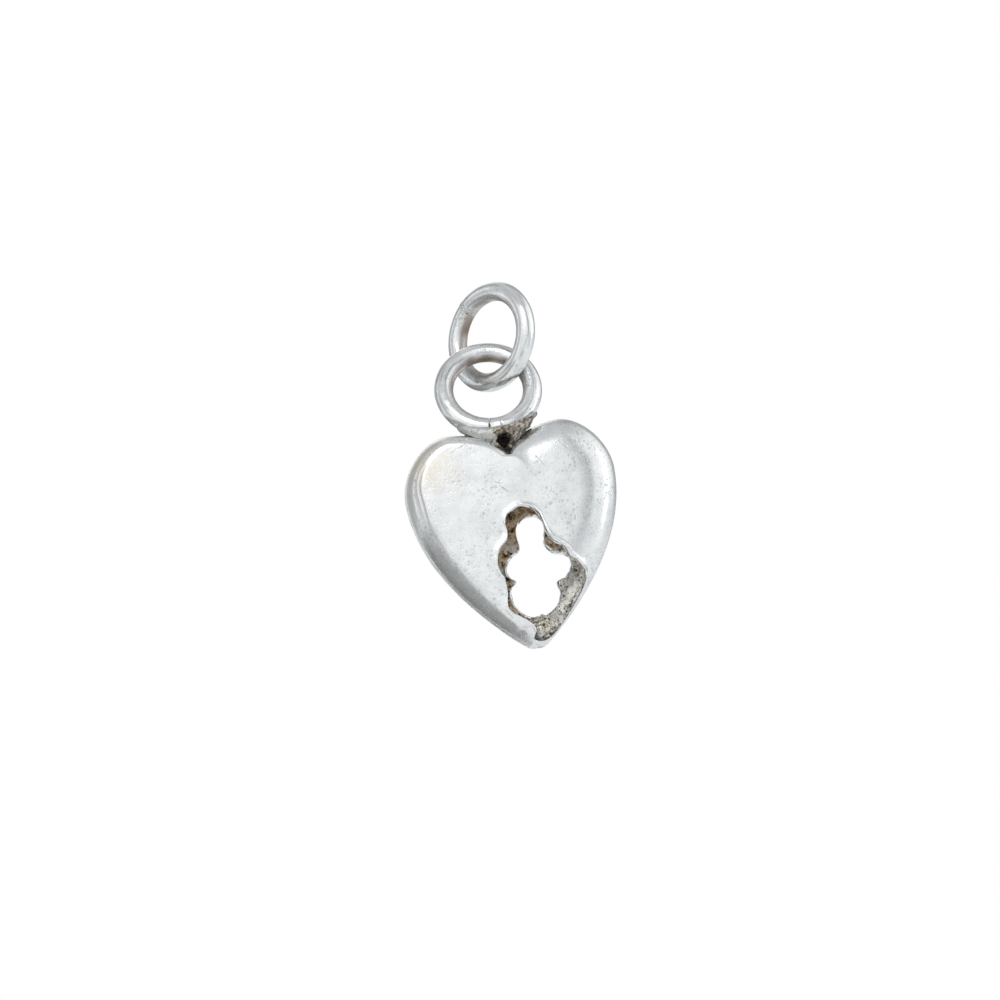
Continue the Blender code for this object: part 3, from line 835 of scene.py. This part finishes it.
def match_opening_to_rim(half, hole, count):
    """The opening's points and the rim's, in pairs that run round without crossing."""

    def turns(points):
        spots = points - np.array(OPENING_MIDDLE)
        return np.unwrap(np.arctan2(spots[:, 0], spots[:, 1]))

    angles = turns(hole)
    if angles[-1] < angles[0]:
        hole = hole[::-1]
        angles = angles[::-1]
    angles = np.maximum.accumulate(angles)
    rim = np.vstack([half, (half * (-1, 1))[::-1][1:-1]])
    rim_angles = turns(rim)
    start = np.argmin(np.abs(wrapped(rim_angles - angles[0])))
    rim = np.roll(rim, -start, axis=0)
    rim_angles = np.unwrap(np.roll(rim_angles, -start))
    rim_angles += math.tau * round((angles[0] - rim_angles[0]) / math.tau)
    rim = np.vstack([rim, rim, rim])
    rim_angles = np.concatenate([rim_angles - math.tau, rim_angles, rim_angles + math.tau])
    hole = np.vstack([hole, hole[:1]])
    angles = np.append(angles, angles[0] + math.tau)
    paired = sampled(angles, rim_angles, rim)
    hole_steps = step_lengths(hole)
    rim_steps = step_lengths(paired)
    along = running_total(hole_steps / hole_steps.sum()
                          + RIM_WEIGHT * rim_steps / rim_steps.sum())
    wanted = np.linspace(0.0, along[-1], count + 1)[:-1]
    return [sampled(wanted, along, run) for run in (hole, paired)]


def shell_loops(shape, half, hole_points, count):
    """Loops of (across, up, height) round a shell, and its masks, for its front or back."""
    distance = EdgeDistance(half)
    hole = opening_outline(hole_points, 4 * count)
    inner, rim = match_opening_to_rim(half, hole, count)
    reach = inner - rim
    span = np.linalg.norm(reach, axis=1)
    probes = np.linspace(0, 1, 56) ** 1.8
    insets = np.array([distance(rim + reach * share) for share in probes])
    insets = np.maximum.accumulate(insets, axis=0)
    insets[0] = 0.0
    hole_inset = insets[-1]
    table = np.linspace(0, QUARTER, 240)
    reaches = shoulder_reach(shape, rim)
    flat_inset, flat_rise, _, _ = shoulder_at(shape, 1.0, table)
    inset, rise, outward, upward = shoulder_at(shape, reaches[:, None], table[None, :])
    under_inset = inset + shape.sheet * outward
    under_rise = rise - shape.sheet * upward
    none = np.zeros(count)
    loops = []
    masks = {"inside": [], "lip": []}

    def row_by_row(*runs):
        return np.array([np.interp(*row) for row in zip(*runs)])

    def at_inset(wanted):
        return np.array([np.interp(wanted[k], insets[:, k], probes) for k in range(count)])

    def inset_at(shares):
        return np.array([np.interp(shares[k], probes, insets[:, k]) for k in range(count)])

    def rise_at(shares):
        return np.interp(inset_at(shares) / reaches, flat_inset, flat_rise)

    def add(shares, rise, inside=0.0, lip=0.0):
        spot = rim + reach * shares[:, None]
        height = (rise + shape.rim_land) * (1 + crown_share(shape, spot))
        loops.append(np.column_stack([spot, height]))
        masks["inside"].append(none + inside)
        masks["lip"].append(none + lip)

    hole_right = np.clip((inner[:, 0] / MM - 1.3) / 0.8, 0, 1)
    hole_right *= np.clip((-6.4 - inner[:, 1] / MM) / 0.8, 0, 1)
    lips = shape.lip * (1 + 1.5 * hole_right)
    lip_share = lips / span

    # Outside, from the rim over the shoulder and the face to the opening
    last_inset = np.minimum(reaches, 0.75 * hole_inset)
    last_angle = np.interp(last_inset / reaches, flat_inset, table)
    add(none, none - shape.rim_land)
    for step in range(SHOULDER_LOOPS + 1):
        inset, rise, _, _ = shoulder_at(shape, reaches, last_angle * step / SHOULDER_LOOPS)
        add(at_inset(inset), rise)
    shoulder_end = at_inset(last_inset)
    top = 1 - lip_share
    for step in range(1, FACE_LOOPS + 1):
        shares = shoulder_end + (top - shoulder_end) * (1 - (1 - step / FACE_LOOPS) ** 1.7)
        bead = bump((top - shares) * span, BEAD_WIDTH)
        add(shares, rise_at(shares) + shape.bead * bead, lip=0.5 * bead)

    # Round the pierced edge and through the sheet
    edge_rise = rise_at(top) + shape.bead
    for step in range(1, EDGE_LOOPS + 1):
        turn = QUARTER * step / EDGE_LOOPS
        add(1 - lip_share * (1 - math.sin(turn)),
            edge_rise - lips * (1 - math.cos(turn)), lip=0.4 + 0.1 * step)
    wall_top = edge_rise - lips
    wall_end = row_by_row(hole_inset, under_inset, under_rise) + 0.5 * lips
    for step in range(1, WALL_LOOPS + 1):
        add(none + 1, wall_top + (wall_end - wall_top) * step / WALL_LOOPS,
            inside=0.03 * step, lip=1.0)
    for step in range(1, UNDER_EDGE_LOOPS + 1):
        turn = QUARTER * step / UNDER_EDGE_LOOPS
        add(1 - 0.5 * lip_share * (1 - math.cos(turn)),
            wall_end - 0.5 * lips * math.sin(turn), inside=0.24 + 0.05 * step, lip=1.0)

    # Inside, back to the rim
    under_last = np.minimum(reaches, hole_inset - 0.5 * lips)
    under_last = np.maximum(under_last, shape.sheet + 0.01 * MM)
    shoulder_under = at_inset(under_last)
    bottom = 1 - 0.5 * lip_share
    for step in range(1, UNDER_FACE_LOOPS + 1):
        shares = bottom + (shoulder_under - bottom) * (step / UNDER_FACE_LOOPS) ** 1.4
        fade = bump((bottom - shares) * span, FADE_WIDTH)
        add(shares, row_by_row(inset_at(shares), under_inset, under_rise),
            inside=1 - 0.6 * fade, lip=0.8 * fade)
    under_angle = row_by_row(under_last, under_inset, [table] * count)
    for step in range(1, UNDER_SHOULDER_LOOPS + 1):
        angle = under_angle * (1 - step / UNDER_SHOULDER_LOOPS)
        inset, rise, outward, upward = shoulder_at(shape, reaches, angle)
        add(at_inset(inset + shape.sheet * outward), rise - shape.sheet * upward, inside=1.0)
    rim_inner = at_inset(none + shape.sheet)
    add(rim_inner, none - shape.rim_land, inside=1.0)
    add(rim_inner * 0.5, none - shape.rim_land, inside=0.8)
    return np.array(loops), masks


def groove_line(half, across, up):
    """The groove that wear has left along the left shoulder."""
    window = past(across, -3.6 * MM, -1 * MM) * bump(up + 2.3 * MM, 1.9 * MM)
    near = window > 0.02
    spots = np.column_stack([across, up])[near]
    away = np.full(len(spots), 1.0)
    for point in half[::4] * (-1, 1):
        away = np.minimum(away, np.hypot(*(spots - point).T))
    wander = 0.06 * MM * np.sin(spots[:, 1] / (0.55 * MM))
    line = np.zeros(len(up))
    line[near] = window[near] * bump(away - GROOVE_INSET - wander, 0.06 * MM)
    return line


def spot_share(across, up, spot, stretch=1.0):
    """1 in the middle of a spot of ((across, up), reach) and 0 well outside it."""
    (middle, height), reach = spot
    away = np.hypot((across - middle * MM) / stretch, up - height * MM)
    return bump(away, reach * MM)


def make_shell(name, node, side, hole_points, settings, seed):
    """One shell as a single skin: outer face, pierced edge, inner face and rim."""
    shape = settings.shape
    half = half_outline(shape, 400)
    loops, masks = shell_loops(shape, half, hole_points, settings.fineness)
    _, _, notch = heart_sizes(shape)
    across, up, rise = loops.reshape(-1, 3).T
    points = np.column_stack([
        notch.x + across, notch.y + side * (shape.seam_gap + rise), notch.z + up])
    faces = grid_faces(len(loops), settings.fineness, True)
    inside, lip = [np.array(masks[label]).ravel() for label in ("inside", "lip")]

    def rough(size, step):
        return noise_at(points, size * MM, seed + step)

    low_right = past(up, -7.1 * MM, -1.6 * MM) * past(across, 0.3 * MM, 1.6 * MM)
    lumps = 0.9 * rough(0.7, 3) + 0.8 * rough(0.3, 4) + 1.3 * low_right * rough(0.17, 7)
    soft = rough(2.6, 0) + 0.35 * rough(0.9, 1)
    chewed = rough(0.42, 2) + 0.5 * rough(0.2, 5)
    outer = (1 - np.clip(4 * inside, 0, 1)) * (side < 0)
    line = outer * groove_line(half, across, up)
    dent = outer * spot_share(across, up, DENT, 1.5)
    near_rim = np.clip(rise / (0.5 * MM), 0, 1)
    deep = np.clip(inside - 0.3, 0, 1) * np.clip(rise / (0.15 * MM), 0, 1)
    push = (shape.wobble * soft * (1 - inside) * near_rim
            - (GROOVE_DEPTH * line + DENT_DEPTH * dent)
            + shape.chew * chewed * lip + shape.grain * lumps * deep)
    points = raised(points, faces, push)
    # Inside, the clean and pale masks lighten the lower right, the pale spots and a little of the
    # top: pale deposit, partly painted light; the rise mask paints shade and light on the grains
    # as well as tarnish
    top = past(up, -5.3 * MM, 1.0 * MM)
    rust = (top * (1 - low_right) + 0.35 + 1.2 * rough(0.6, 8)) * (1 - 0.8 * low_right)
    pale_lit_patch = sum(spot_share(across, up, spot) for spot in PALE_LIT_SPOTS)
    warm = 0.55 * spot_share(across, up, WARM_SPOT) * (1 + rough(0.8, 6))
    masks = {"inside": inside, "lip": lip, "rise": 0.55 + 1.2 * lumps, "rust": rust,
             "clean": 0.40 + 0.50 * low_right + 0.40 * pale_lit_patch + 0.15 * top,
             "pale_and_lit": np.maximum(low_right, 0.9 * pale_lit_patch) + 0.22 * top,
             "warm": warm, "line": line + 0.5 * dent}
    add_piece(name, points, faces, masks, "heart_silver", "heart", node)


# The rings

def ring_place(node):
    """Matrix, radius and wire radius of a packed ring, X across and Z up in its plane."""
    points = vertex_values(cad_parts[node].data)
    middle = points.mean(axis=0)
    normal = np.linalg.svd(points - middle, full_matrices=False)[2][2]
    if normal[1] < 0:
        normal = -normal
    across = np.cross(normal, (0, 0, 1))
    across /= np.linalg.norm(across)
    up = np.cross(across, normal)
    flat = (points - middle) @ np.stack([across, up], 1)
    fit = np.linalg.lstsq(np.column_stack([2 * flat, np.ones(len(flat))]),
                          (flat ** 2).sum(axis=1), rcond=None)[0]
    centre = middle + across * fit[0] + up * fit[1]
    reach = np.linalg.norm(flat - fit[:2], axis=1)
    matrix = Matrix.Translation(centre) @ Matrix(np.stack([across, normal, up], 1)).to_4x4()
    return matrix, (reach.max() + reach.min()) / 2, (reach.max() - reach.min()) / 2


def wire_points(radius, wire, start, end, steps, end_round, swell=0.0):
    """Rows of points of a bent wire with rounded ends, drawn round the Y axis."""
    turns = [QUARTER * k / 4 for k in range(5)]
    ends = [start + end_round / radius * (1 - math.cos(turn)) for turn in turns]
    sizes = [1 - end_round / wire * (1 - math.sin(turn)) for turn in turns]
    middle = np.linspace(start + end_round / radius, end - end_round / radius, steps)[1:-1]
    angles = np.concatenate([ends, middle, [start + end - place for place in ends[::-1]]])
    radii = np.concatenate([sizes, np.ones(len(middle)), sizes[::-1]])
    along = (angles - start) / (end - start)
    radii = radii * (1 + swell * np.sin(math.pi * along))
    around = np.linspace(0, math.tau, WIRE_SIDES, endpoint=False)
    rows = []
    for angle, size in zip(angles, radii):
        out = radius + wire * size * np.cos(around)
        rows.append(np.column_stack([out * math.cos(angle), wire * size * np.sin(around),
                                     out * math.sin(angle)]))
    return np.array(rows)


def near_ring(points, place):
    """1 where a ring almost touches, fading out round it."""
    matrix, radius, wire = place
    local = (points - np.array(matrix.translation)) @ np.array(matrix.to_3x3())
    away = np.hypot(np.hypot(local[:, 0], local[:, 2]) - radius, local[:, 1]) - wire
    return bump(np.clip(away, 0, None), 0.26 * MM)


def marks_at(along, around, radius, wire, marks):
    """Darkness and depth of the marks at angles along a ring and round its wire."""
    dark = np.zeros(len(along))
    depth = np.zeros(len(along))
    for turn, side, half_length, half_width, sunk, shade in marks:
        off_along = wrapped(along - math.radians(turn)) * radius
        off_around = wrapped(around - math.radians(side)) * wire
        share = bump(np.hypot(off_along / (half_length * MM), off_around / (half_width * MM)), 1)
        dark = np.maximum(dark, shade * share)
        depth += sunk * MM * share
    return dark, depth


def make_wire(name, node, body, material, rows, place, seed, marks, other, end_dirt):
    """A wire piece from its rows of points, dented, streaked, dirty at its ends, and darkened
    with tarnish and painted shade on its inner side and where the other ring touches.
    """
    matrix, radius, wire = place
    flat = rows.reshape(-1, 3)
    points = flat @ np.array(matrix.to_3x3()).T + np.array(matrix.translation)
    faces = grid_faces(len(rows), WIRE_SIDES, False)
    faces.append(tuple(range(WIRE_SIDES)))
    faces.append(tuple(range(len(flat) - WIRE_SIDES, len(flat))))

    def rough(size, step):
        return noise_at(points, size * MM, seed + step)

    around = np.tile(np.linspace(0, math.tau, WIRE_SIDES, endpoint=False), len(rows))
    along = np.arctan2(flat[:, 2], flat[:, 0])
    drawn = np.column_stack([wire * np.cos(around), wire * np.sin(around), 0.07 * radius * along])
    streaks = np.clip(3 * noise_at(drawn, 0.10 * MM, seed + 3) - 0.5, 0, 1)
    streaks *= np.clip(0.5 + 2 * rough(0.9, 4), 0, 1)
    dark, depth = marks_at(along, around, radius, wire, marks)
    push = DENTING * (rough(1.4, 0) + 0.6 * rough(0.5, 1))
    points = raised(points, faces, push - depth - STREAK_DEPTH * streaks)
    # The inner side of the wire is darkened: tarnish, partly painted shade
    inner = np.clip((-np.cos(around) - 0.45) / 0.45, 0, 1) * (0.75 + 0.6 * rough(0.8, 2))
    ends = np.zeros(rows.shape[:2])
    ends[:4] = ends[-4:] = end_dirt
    # Darkened where the other ring touches: tarnish and a painted contact shadow
    contact_tarnish_and_shade = near_ring(points, other) * np.clip(0.8 + rough(0.4, 5), 0, 1)
    plain = np.ones(len(points))
    masks = {"deep": np.maximum.reduce([0.9 * inner, ends.ravel(), 0.9 * contact_tarnish_and_shade]),
             "line": np.maximum(dark, 0.5 * streaks), "stain": 0.5 * inner,
             "rise": 0.8 * plain, "clean": 0.86 * plain}
    add_piece(name, points, faces, masks, material, body, node)


# The solder

def remeshed(node, voxel, smoothing, swell=None):
    """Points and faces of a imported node, swollen, then remade in even quads and softened."""
    item = add_object("remesh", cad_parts[node].data.copy())
    shell = bmesh.new()
    shell.from_mesh(item.data)
    bmesh.ops.remove_doubles(shell, verts=shell.verts, dist=0.002 * MM)
    shell.normal_update()
    if swell:
        ways = [vert.normal.copy() for vert in shell.verts]
        for vert, way in zip(shell.verts, ways):
            vert.co += way * swell(vert.co)
    shell.to_mesh(item.data)
    shell.free()
    remesh = item.modifiers.new("remesh", "REMESH")
    remesh.mode = "VOXEL"
    remesh.voxel_size = voxel
    soften = item.modifiers.new("soften", "SMOOTH")
    soften.iterations = smoothing
    mesh = evaluated_mesh(item)
    points = vertex_values(mesh)
    faces = [tuple(face.vertices) for face in mesh.polygons]
    bpy.data.objects.remove(item, do_unlink=True)
    return points, faces


def bank_share(notch, spot):
    """1 on the lower right of the seam, where solder lies thick, and 0 away from it."""
    start, run = [Vector(place) * MM for place in SOLDER_BANK]
    away = Vector(spot) - (notch + start)
    share = min(max(away.dot(run) / run.length_squared, 0.0), 1.0)
    return math.exp(-((away - run * share).length / (1.1 * MM)) ** 2)


def lumps_at(points, seed):
    """Lumps and grains of set solder, from about -1 to 1."""
    return sum(height * noise_at(points, size * MM, seed + step)
               for step, (height, size) in enumerate(SOLDER_LUMPS))


def make_notch_solder(notch):
    """Solder between the lower ring and the lobes: smooth on the left, burnt on the right."""
    points, faces = remeshed("ring_solder", 0.035 * MM, 6)
    lumps = lumps_at(points, 51)
    across = points[:, 0] - notch.x
    smooth = np.clip(0.5 - (across + 0.30 * MM) / (1.5 * MM) + 0.5 * lumps, 0, 1)
    smooth = np.maximum(smooth, 0.9 * near_ring(points, ring_place("lower_ring")) ** 3)
    grow = (0.05 * MM - 0.15 * MM * bump(across - across.min(), 0.75 * MM)
            - 0.24 * MM * bump(across - across.max(), 0.8 * MM))
    away = np.hypot(across + 0.05 * MM, points[:, 2] - notch.z - 0.72 * MM)
    # Painted shade: the solder round the pocket under the ring is darker
    pocket_shade = bump(away, 0.50 * MM) * (vertex_normals(points, faces)[:, 1] < 0.5)
    left, near, _ = points.min(axis=0)
    stain_at = (left + 0.30 * MM, near + 0.9 * MM, points[:, 2].max() - 0.75 * MM)
    stain = 0.6 * bump(np.linalg.norm(points - stain_at, axis=1), 0.3 * MM)
    height = grow + 0.045 * MM * (1 - 0.6 * smooth) * lumps
    masks = {"rise": 0.40 + 0.75 * lumps * (1 - 0.5 * smooth) - 0.8 * pocket_shade,
             "clean": smooth * (1 - pocket_shade), "stain": stain}
    add_piece("notch_solder", raised(points, faces, height), faces, masks, "grey_solder",
              "heart", "ring_solder")


def make_inner_solder(name, node, notch, swell, shift, rough, clean, seed):
    """Solder inside the heart, thick and pale on the lower right, partly with painted light, and
    dark elsewhere.
    """
    points, faces = remeshed(
        node, 0.045 * MM, 4,
        lambda spot: swell * MM * bank_share(notch, spot) * (0.4 + 0.6 * (spot.x > notch.x)))
    bank = np.array([bank_share(notch, spot) for spot in points])
    points = points + bank[:, None] * np.array(Vector(shift) * MM)
    lumps = lumps_at(points, seed)
    height = 0.06 * MM + (0.05 * MM + rough * MM * bank) * lumps
    masks = {"rise": 0.50 + 0.75 * lumps, "clean": 0.15 + clean * bank, "pale_and_lit": 0.95 * bank}
    add_piece(name, raised(points, faces, height), faces, masks, "dark_solder", "heart",
              node)


# The stage

def camera_axes(stage):
    """Unit vectors of the picture: right, up, and from the charm to the camera."""
    cos = math.cos(stage.elevation)
    towards = Vector((-math.sin(stage.azimuth) * cos, -math.cos(stage.azimuth) * cos,
                      math.sin(stage.elevation)))
    level = Vector((math.cos(stage.azimuth), -math.sin(stage.azimuth), 0))
    upright = towards.cross(level)
    up = math.cos(stage.roll) * upright + math.sin(stage.roll) * level
    right = math.cos(stage.roll) * level - math.sin(stage.roll) * upright
    return right, up, towards


def add_camera(stage, notch):
    """Stands the camera where the picture was taken from and returns the picture's middle."""
    right, up, towards = camera_axes(stage)
    beside, below = PICTURE_MIDDLE
    middle = notch + Vector(AIM) * MM - beside * MM * right - below * MM * up
    data = bpy.data.cameras.new("camera")
    data.sensor_width = SENSOR
    data.lens = SENSOR * stage.distance / stage.view_width
    data.clip_start = 0.01
    camera = add_object("camera", data)
    turn = Matrix((right, up, towards)).transposed().to_4x4()
    camera.matrix_world = Matrix.Translation(middle + stage.distance * towards) @ turn
    bpy.context.scene.camera = camera
    return middle


def add_lamp(name, aim, place, size, power):
    """A rectangular soft lamp at a place from its aim, turned to that."""
    data = bpy.data.lights.new(name, "AREA")
    data.shape = "RECTANGLE"
    data.size, data.size_y = size
    data.energy = power
    lamp = add_object(name, data)
    lamp.location = aim + Vector(place)
    lamp.rotation_euler = (-Vector(place)).to_track_quat("-Z", "Y").to_euler()


def soft_card(turn, lift, turns, lifts, softness):
    """1 inside a box of directions, given in degrees, and 0 well outside it."""
    sides = []
    for value, (low, high) in ((turn, turns), (lift, lifts)):
        for edge, ends in ((low, (0.0, 1.0)), (high, (1.0, 0.0))):
            sides.append(between(value, math.radians(edge - softness),
                                 math.radians(edge + softness), *ends))
    left, right, bottom, top = sides
    return left * right * (bottom * top)


def add_world(stage):
    """White backdrop, which metal also shows, with grey cards standing in front of it."""
    world = bpy.data.worlds.new("studio")
    bpy.context.scene.world = world
    world.use_nodes = True
    tree = world.node_tree
    shader = tree.nodes["Background"]
    parts = put(tree, "ShaderNodeSeparateXYZ",
                {0: put(tree, "ShaderNodeTexCoord", output="Generated")})
    turn = calculate("ARCTAN2", parts, parts.beside("Y") * -1.0)
    lift = calculate("ARCSINE", parts.beside("Z"))
    cards = [soft_card(turn, lift, *box) * depth for *box, depth in GREY_CARDS]
    dark = cards[0]
    for card in cards[1:]:
        dark = larger(dark, card)
    seen = put(tree, "ShaderNodeLightPath", output="Is Camera Ray")
    backdrop = blend(dark * (1.0 - seen), stage.background, stage.card)
    shown = larger(larger(seen, seen.beside("Is Glossy Ray")),
                   seen.beside("Is Transmission Ray"))
    fill(shader.inputs["Color"], blend(shown, stage.light, backdrop))
    fill(shader.inputs["Strength"], 1.0)


def shaded(shade, share):
    """A colour made darker or paler."""
    return [share * value for value in shade]


def add_sheet(name, material, corners, fineness, first, second):
    """A matt sheet in clouds of two colours; returns it, its tone, place and shader."""
    mesh = bpy.data.meshes.new(name)
    mesh.from_pydata(corners, [], [tuple(range(len(corners)))])
    tree, shader = start_material(material)
    place = put(tree, "ShaderNodeTexCoord", output="Object")
    tone = blend(wave(place, fineness), first, second)
    fill(shader.inputs["Roughness"], 0.9)
    mesh.materials.append(bpy.data.materials[material])
    return add_object(name, mesh), tone, place, shader


def add_floor(stage):
    """A pale floor well below the charm."""
    low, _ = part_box("front_shell")
    corners = [(x * FLOOR_SIZE / 2, y * FLOOR_SIZE / 2, low.z - stage.floor_drop)
               for x, y in ((-1, -1), (1, -1), (1, 1), (-1, 1))]
    floor, tone, _, shader = add_sheet("floor", "pale_floor", corners, 30.0,
                                       shaded(stage.floor, 0.97), stage.floor)
    fill(shader.inputs["Base Color"], tone)


def add_low_card(stage, middle):
    """Grey card below on the left, which only the silver mirrors."""
    corners = [middle + Vector(place) for place in LOW_CARD]
    card, tone, place, shader = add_sheet("low_card", "grey_card", corners, 12.0,
                                          stage.low_card, shaded(stage.low_card, 1.25))
    along = put(place.tree, "ShaderNodeSeparateXYZ", {0: place}, "Y")
    fill(shader.inputs["Base Color"],
         blend(between(along, -0.05, 0.5), tone, shaded(stage.low_card, 0.52)))
    card.visible_camera = False
    card.visible_diffuse = False
    card.visible_shadow = False


# Operators

class CHARM_OT_shells(Operator):
    """Builds the two pierced shells of the heart"""

    bl_idname = "charm.shells"
    bl_label = "Heart shells"

    def execute(self, context):
        settings = context.scene.heart_charm
        make_shell("front_face", "front_shell", -1, FRONT_OPENING, settings, 3)
        make_shell("back_face", "back_shell", 1, BACK_OPENING, settings, 11)
        return {"FINISHED"}


class CHARM_OT_rings(Operator):
    """Builds the two wire rings and the solder that closes the upper one"""

    bl_idname = "charm.rings"
    bl_label = "Rings"

    def execute(self, context):
        shape = context.scene.heart_charm.shape
        places = {}
        for name in ("lower_ring", "upper_ring"):
            matrix, radius, wire = ring_place(name)
            places[name] = matrix, radius + RING_GROWTH, wire + WIRE_GROWTH
        for name, other, body, joint, gap, seed, dirt in (
                ("lower_ring", "upper_ring", "heart", shape.lower_joint, shape.lower_gap,
                 21, 0.8),
                ("upper_ring", "lower_ring", "upper_link", shape.upper_joint, shape.upper_gap,
                 31, 0.3)):
            _, radius, wire = places[name]
            half = gap / 2 / radius
            rows = wire_points(radius, wire, joint + half, joint + math.tau - half, RING_STEPS,
                               RING_END)
            make_wire(name + "_wire", name, body, "ring_silver", rows, places[name],
                      seed, RING_MARKS[name], places[other], dirt)
        _, radius, wire = places["upper_ring"]
        joint = shape.upper_joint
        half = (shape.upper_gap / 2 + SCAR_END) / radius
        rows = wire_points(radius, wire * 1.005, joint - half, joint + half, SCAR_STEPS,
                           SCAR_END, SCAR_SWELL)
        make_wire("upper_ring_scar", "upper_ring_solder", "upper_link",
                  "scar_solder", rows, places["upper_ring"], 41, [], places["lower_ring"], 0.0)
        return {"FINISHED"}


class CHARM_OT_solder(Operator):
    """Builds the solder in the notch, round the seam and in the tip"""

    bl_idname = "charm.solder"
    bl_label = "Solder"

    def execute(self, context):
        _, _, notch = heart_sizes(context.scene.heart_charm.shape)
        make_notch_solder(notch)
        make_inner_solder("seam_bead", "seam_solder", notch, swell=-0.10,
                          shift=(0.14, 0.0, -0.12), rough=0.17, clean=0.36, seed=61)
        make_inner_solder("tip_pool", "tip_solder", notch, swell=0.16,
                          shift=(0.12, -0.12, -0.20), rough=0.15, clean=0.34, seed=71)
        return {"FINISHED"}


class CHARM_OT_stage(Operator):
    """Adds the camera, the lamps, the pale studio and the floor"""

    bl_idname = "charm.stage"
    bl_label = "Stage"

    def execute(self, context):
        settings = context.scene.heart_charm
        context.scene.view_settings.view_transform = "Standard"
        _, _, notch = heart_sizes(settings.shape)
        middle = add_camera(settings.stage, notch)
        add_world(settings.stage)
        add_floor(settings.stage)
        add_low_card(settings.stage, middle)
        for name, place, size, power in LAMPS:
            add_lamp(name, middle, place, size, power)
        return {"FINISHED"}


class CHARM_PT_panel(Panel):
    """Lists the steps that dress the charm"""

    bl_idname = "CHARM_PT_panel"
    bl_label = "Heart charm"
    bl_space_type = "VIEW_3D"
    bl_region_type = "UI"
    bl_category = "Heart charm"

    def draw(self, context):
        settings = context.scene.heart_charm
        for step in STEPS:
            self.layout.operator(step.bl_idname)
        for group in (settings.shape, settings.finish, settings.stage):
            box = self.layout.box()
            for label in group.bl_rna.properties.keys():
                if label not in ("rna_type", "name"):
                    box.prop(group, label)
        self.layout.prop(settings, "fineness")


STEPS = (CHARM_OT_shells, CHARM_OT_rings, CHARM_OT_solder, CHARM_OT_stage)
CLASSES = (CharmShape, CharmFinish, CharmStage, CharmSettings, *STEPS, CHARM_PT_panel)


def register():
    for item in CLASSES:
        bpy.utils.register_class(item)
    bpy.types.Scene.heart_charm = PointerProperty(type=CharmSettings)


def unregister():
    del bpy.types.Scene.heart_charm
    for item in reversed(CLASSES):
        bpy.utils.unregister_class(item)


def main():
    register()
    bpy.ops.charm.shells()
    bpy.ops.charm.rings()
    bpy.ops.charm.solder()
    bpy.ops.charm.stage()


if __name__ == "__main__":
    main()
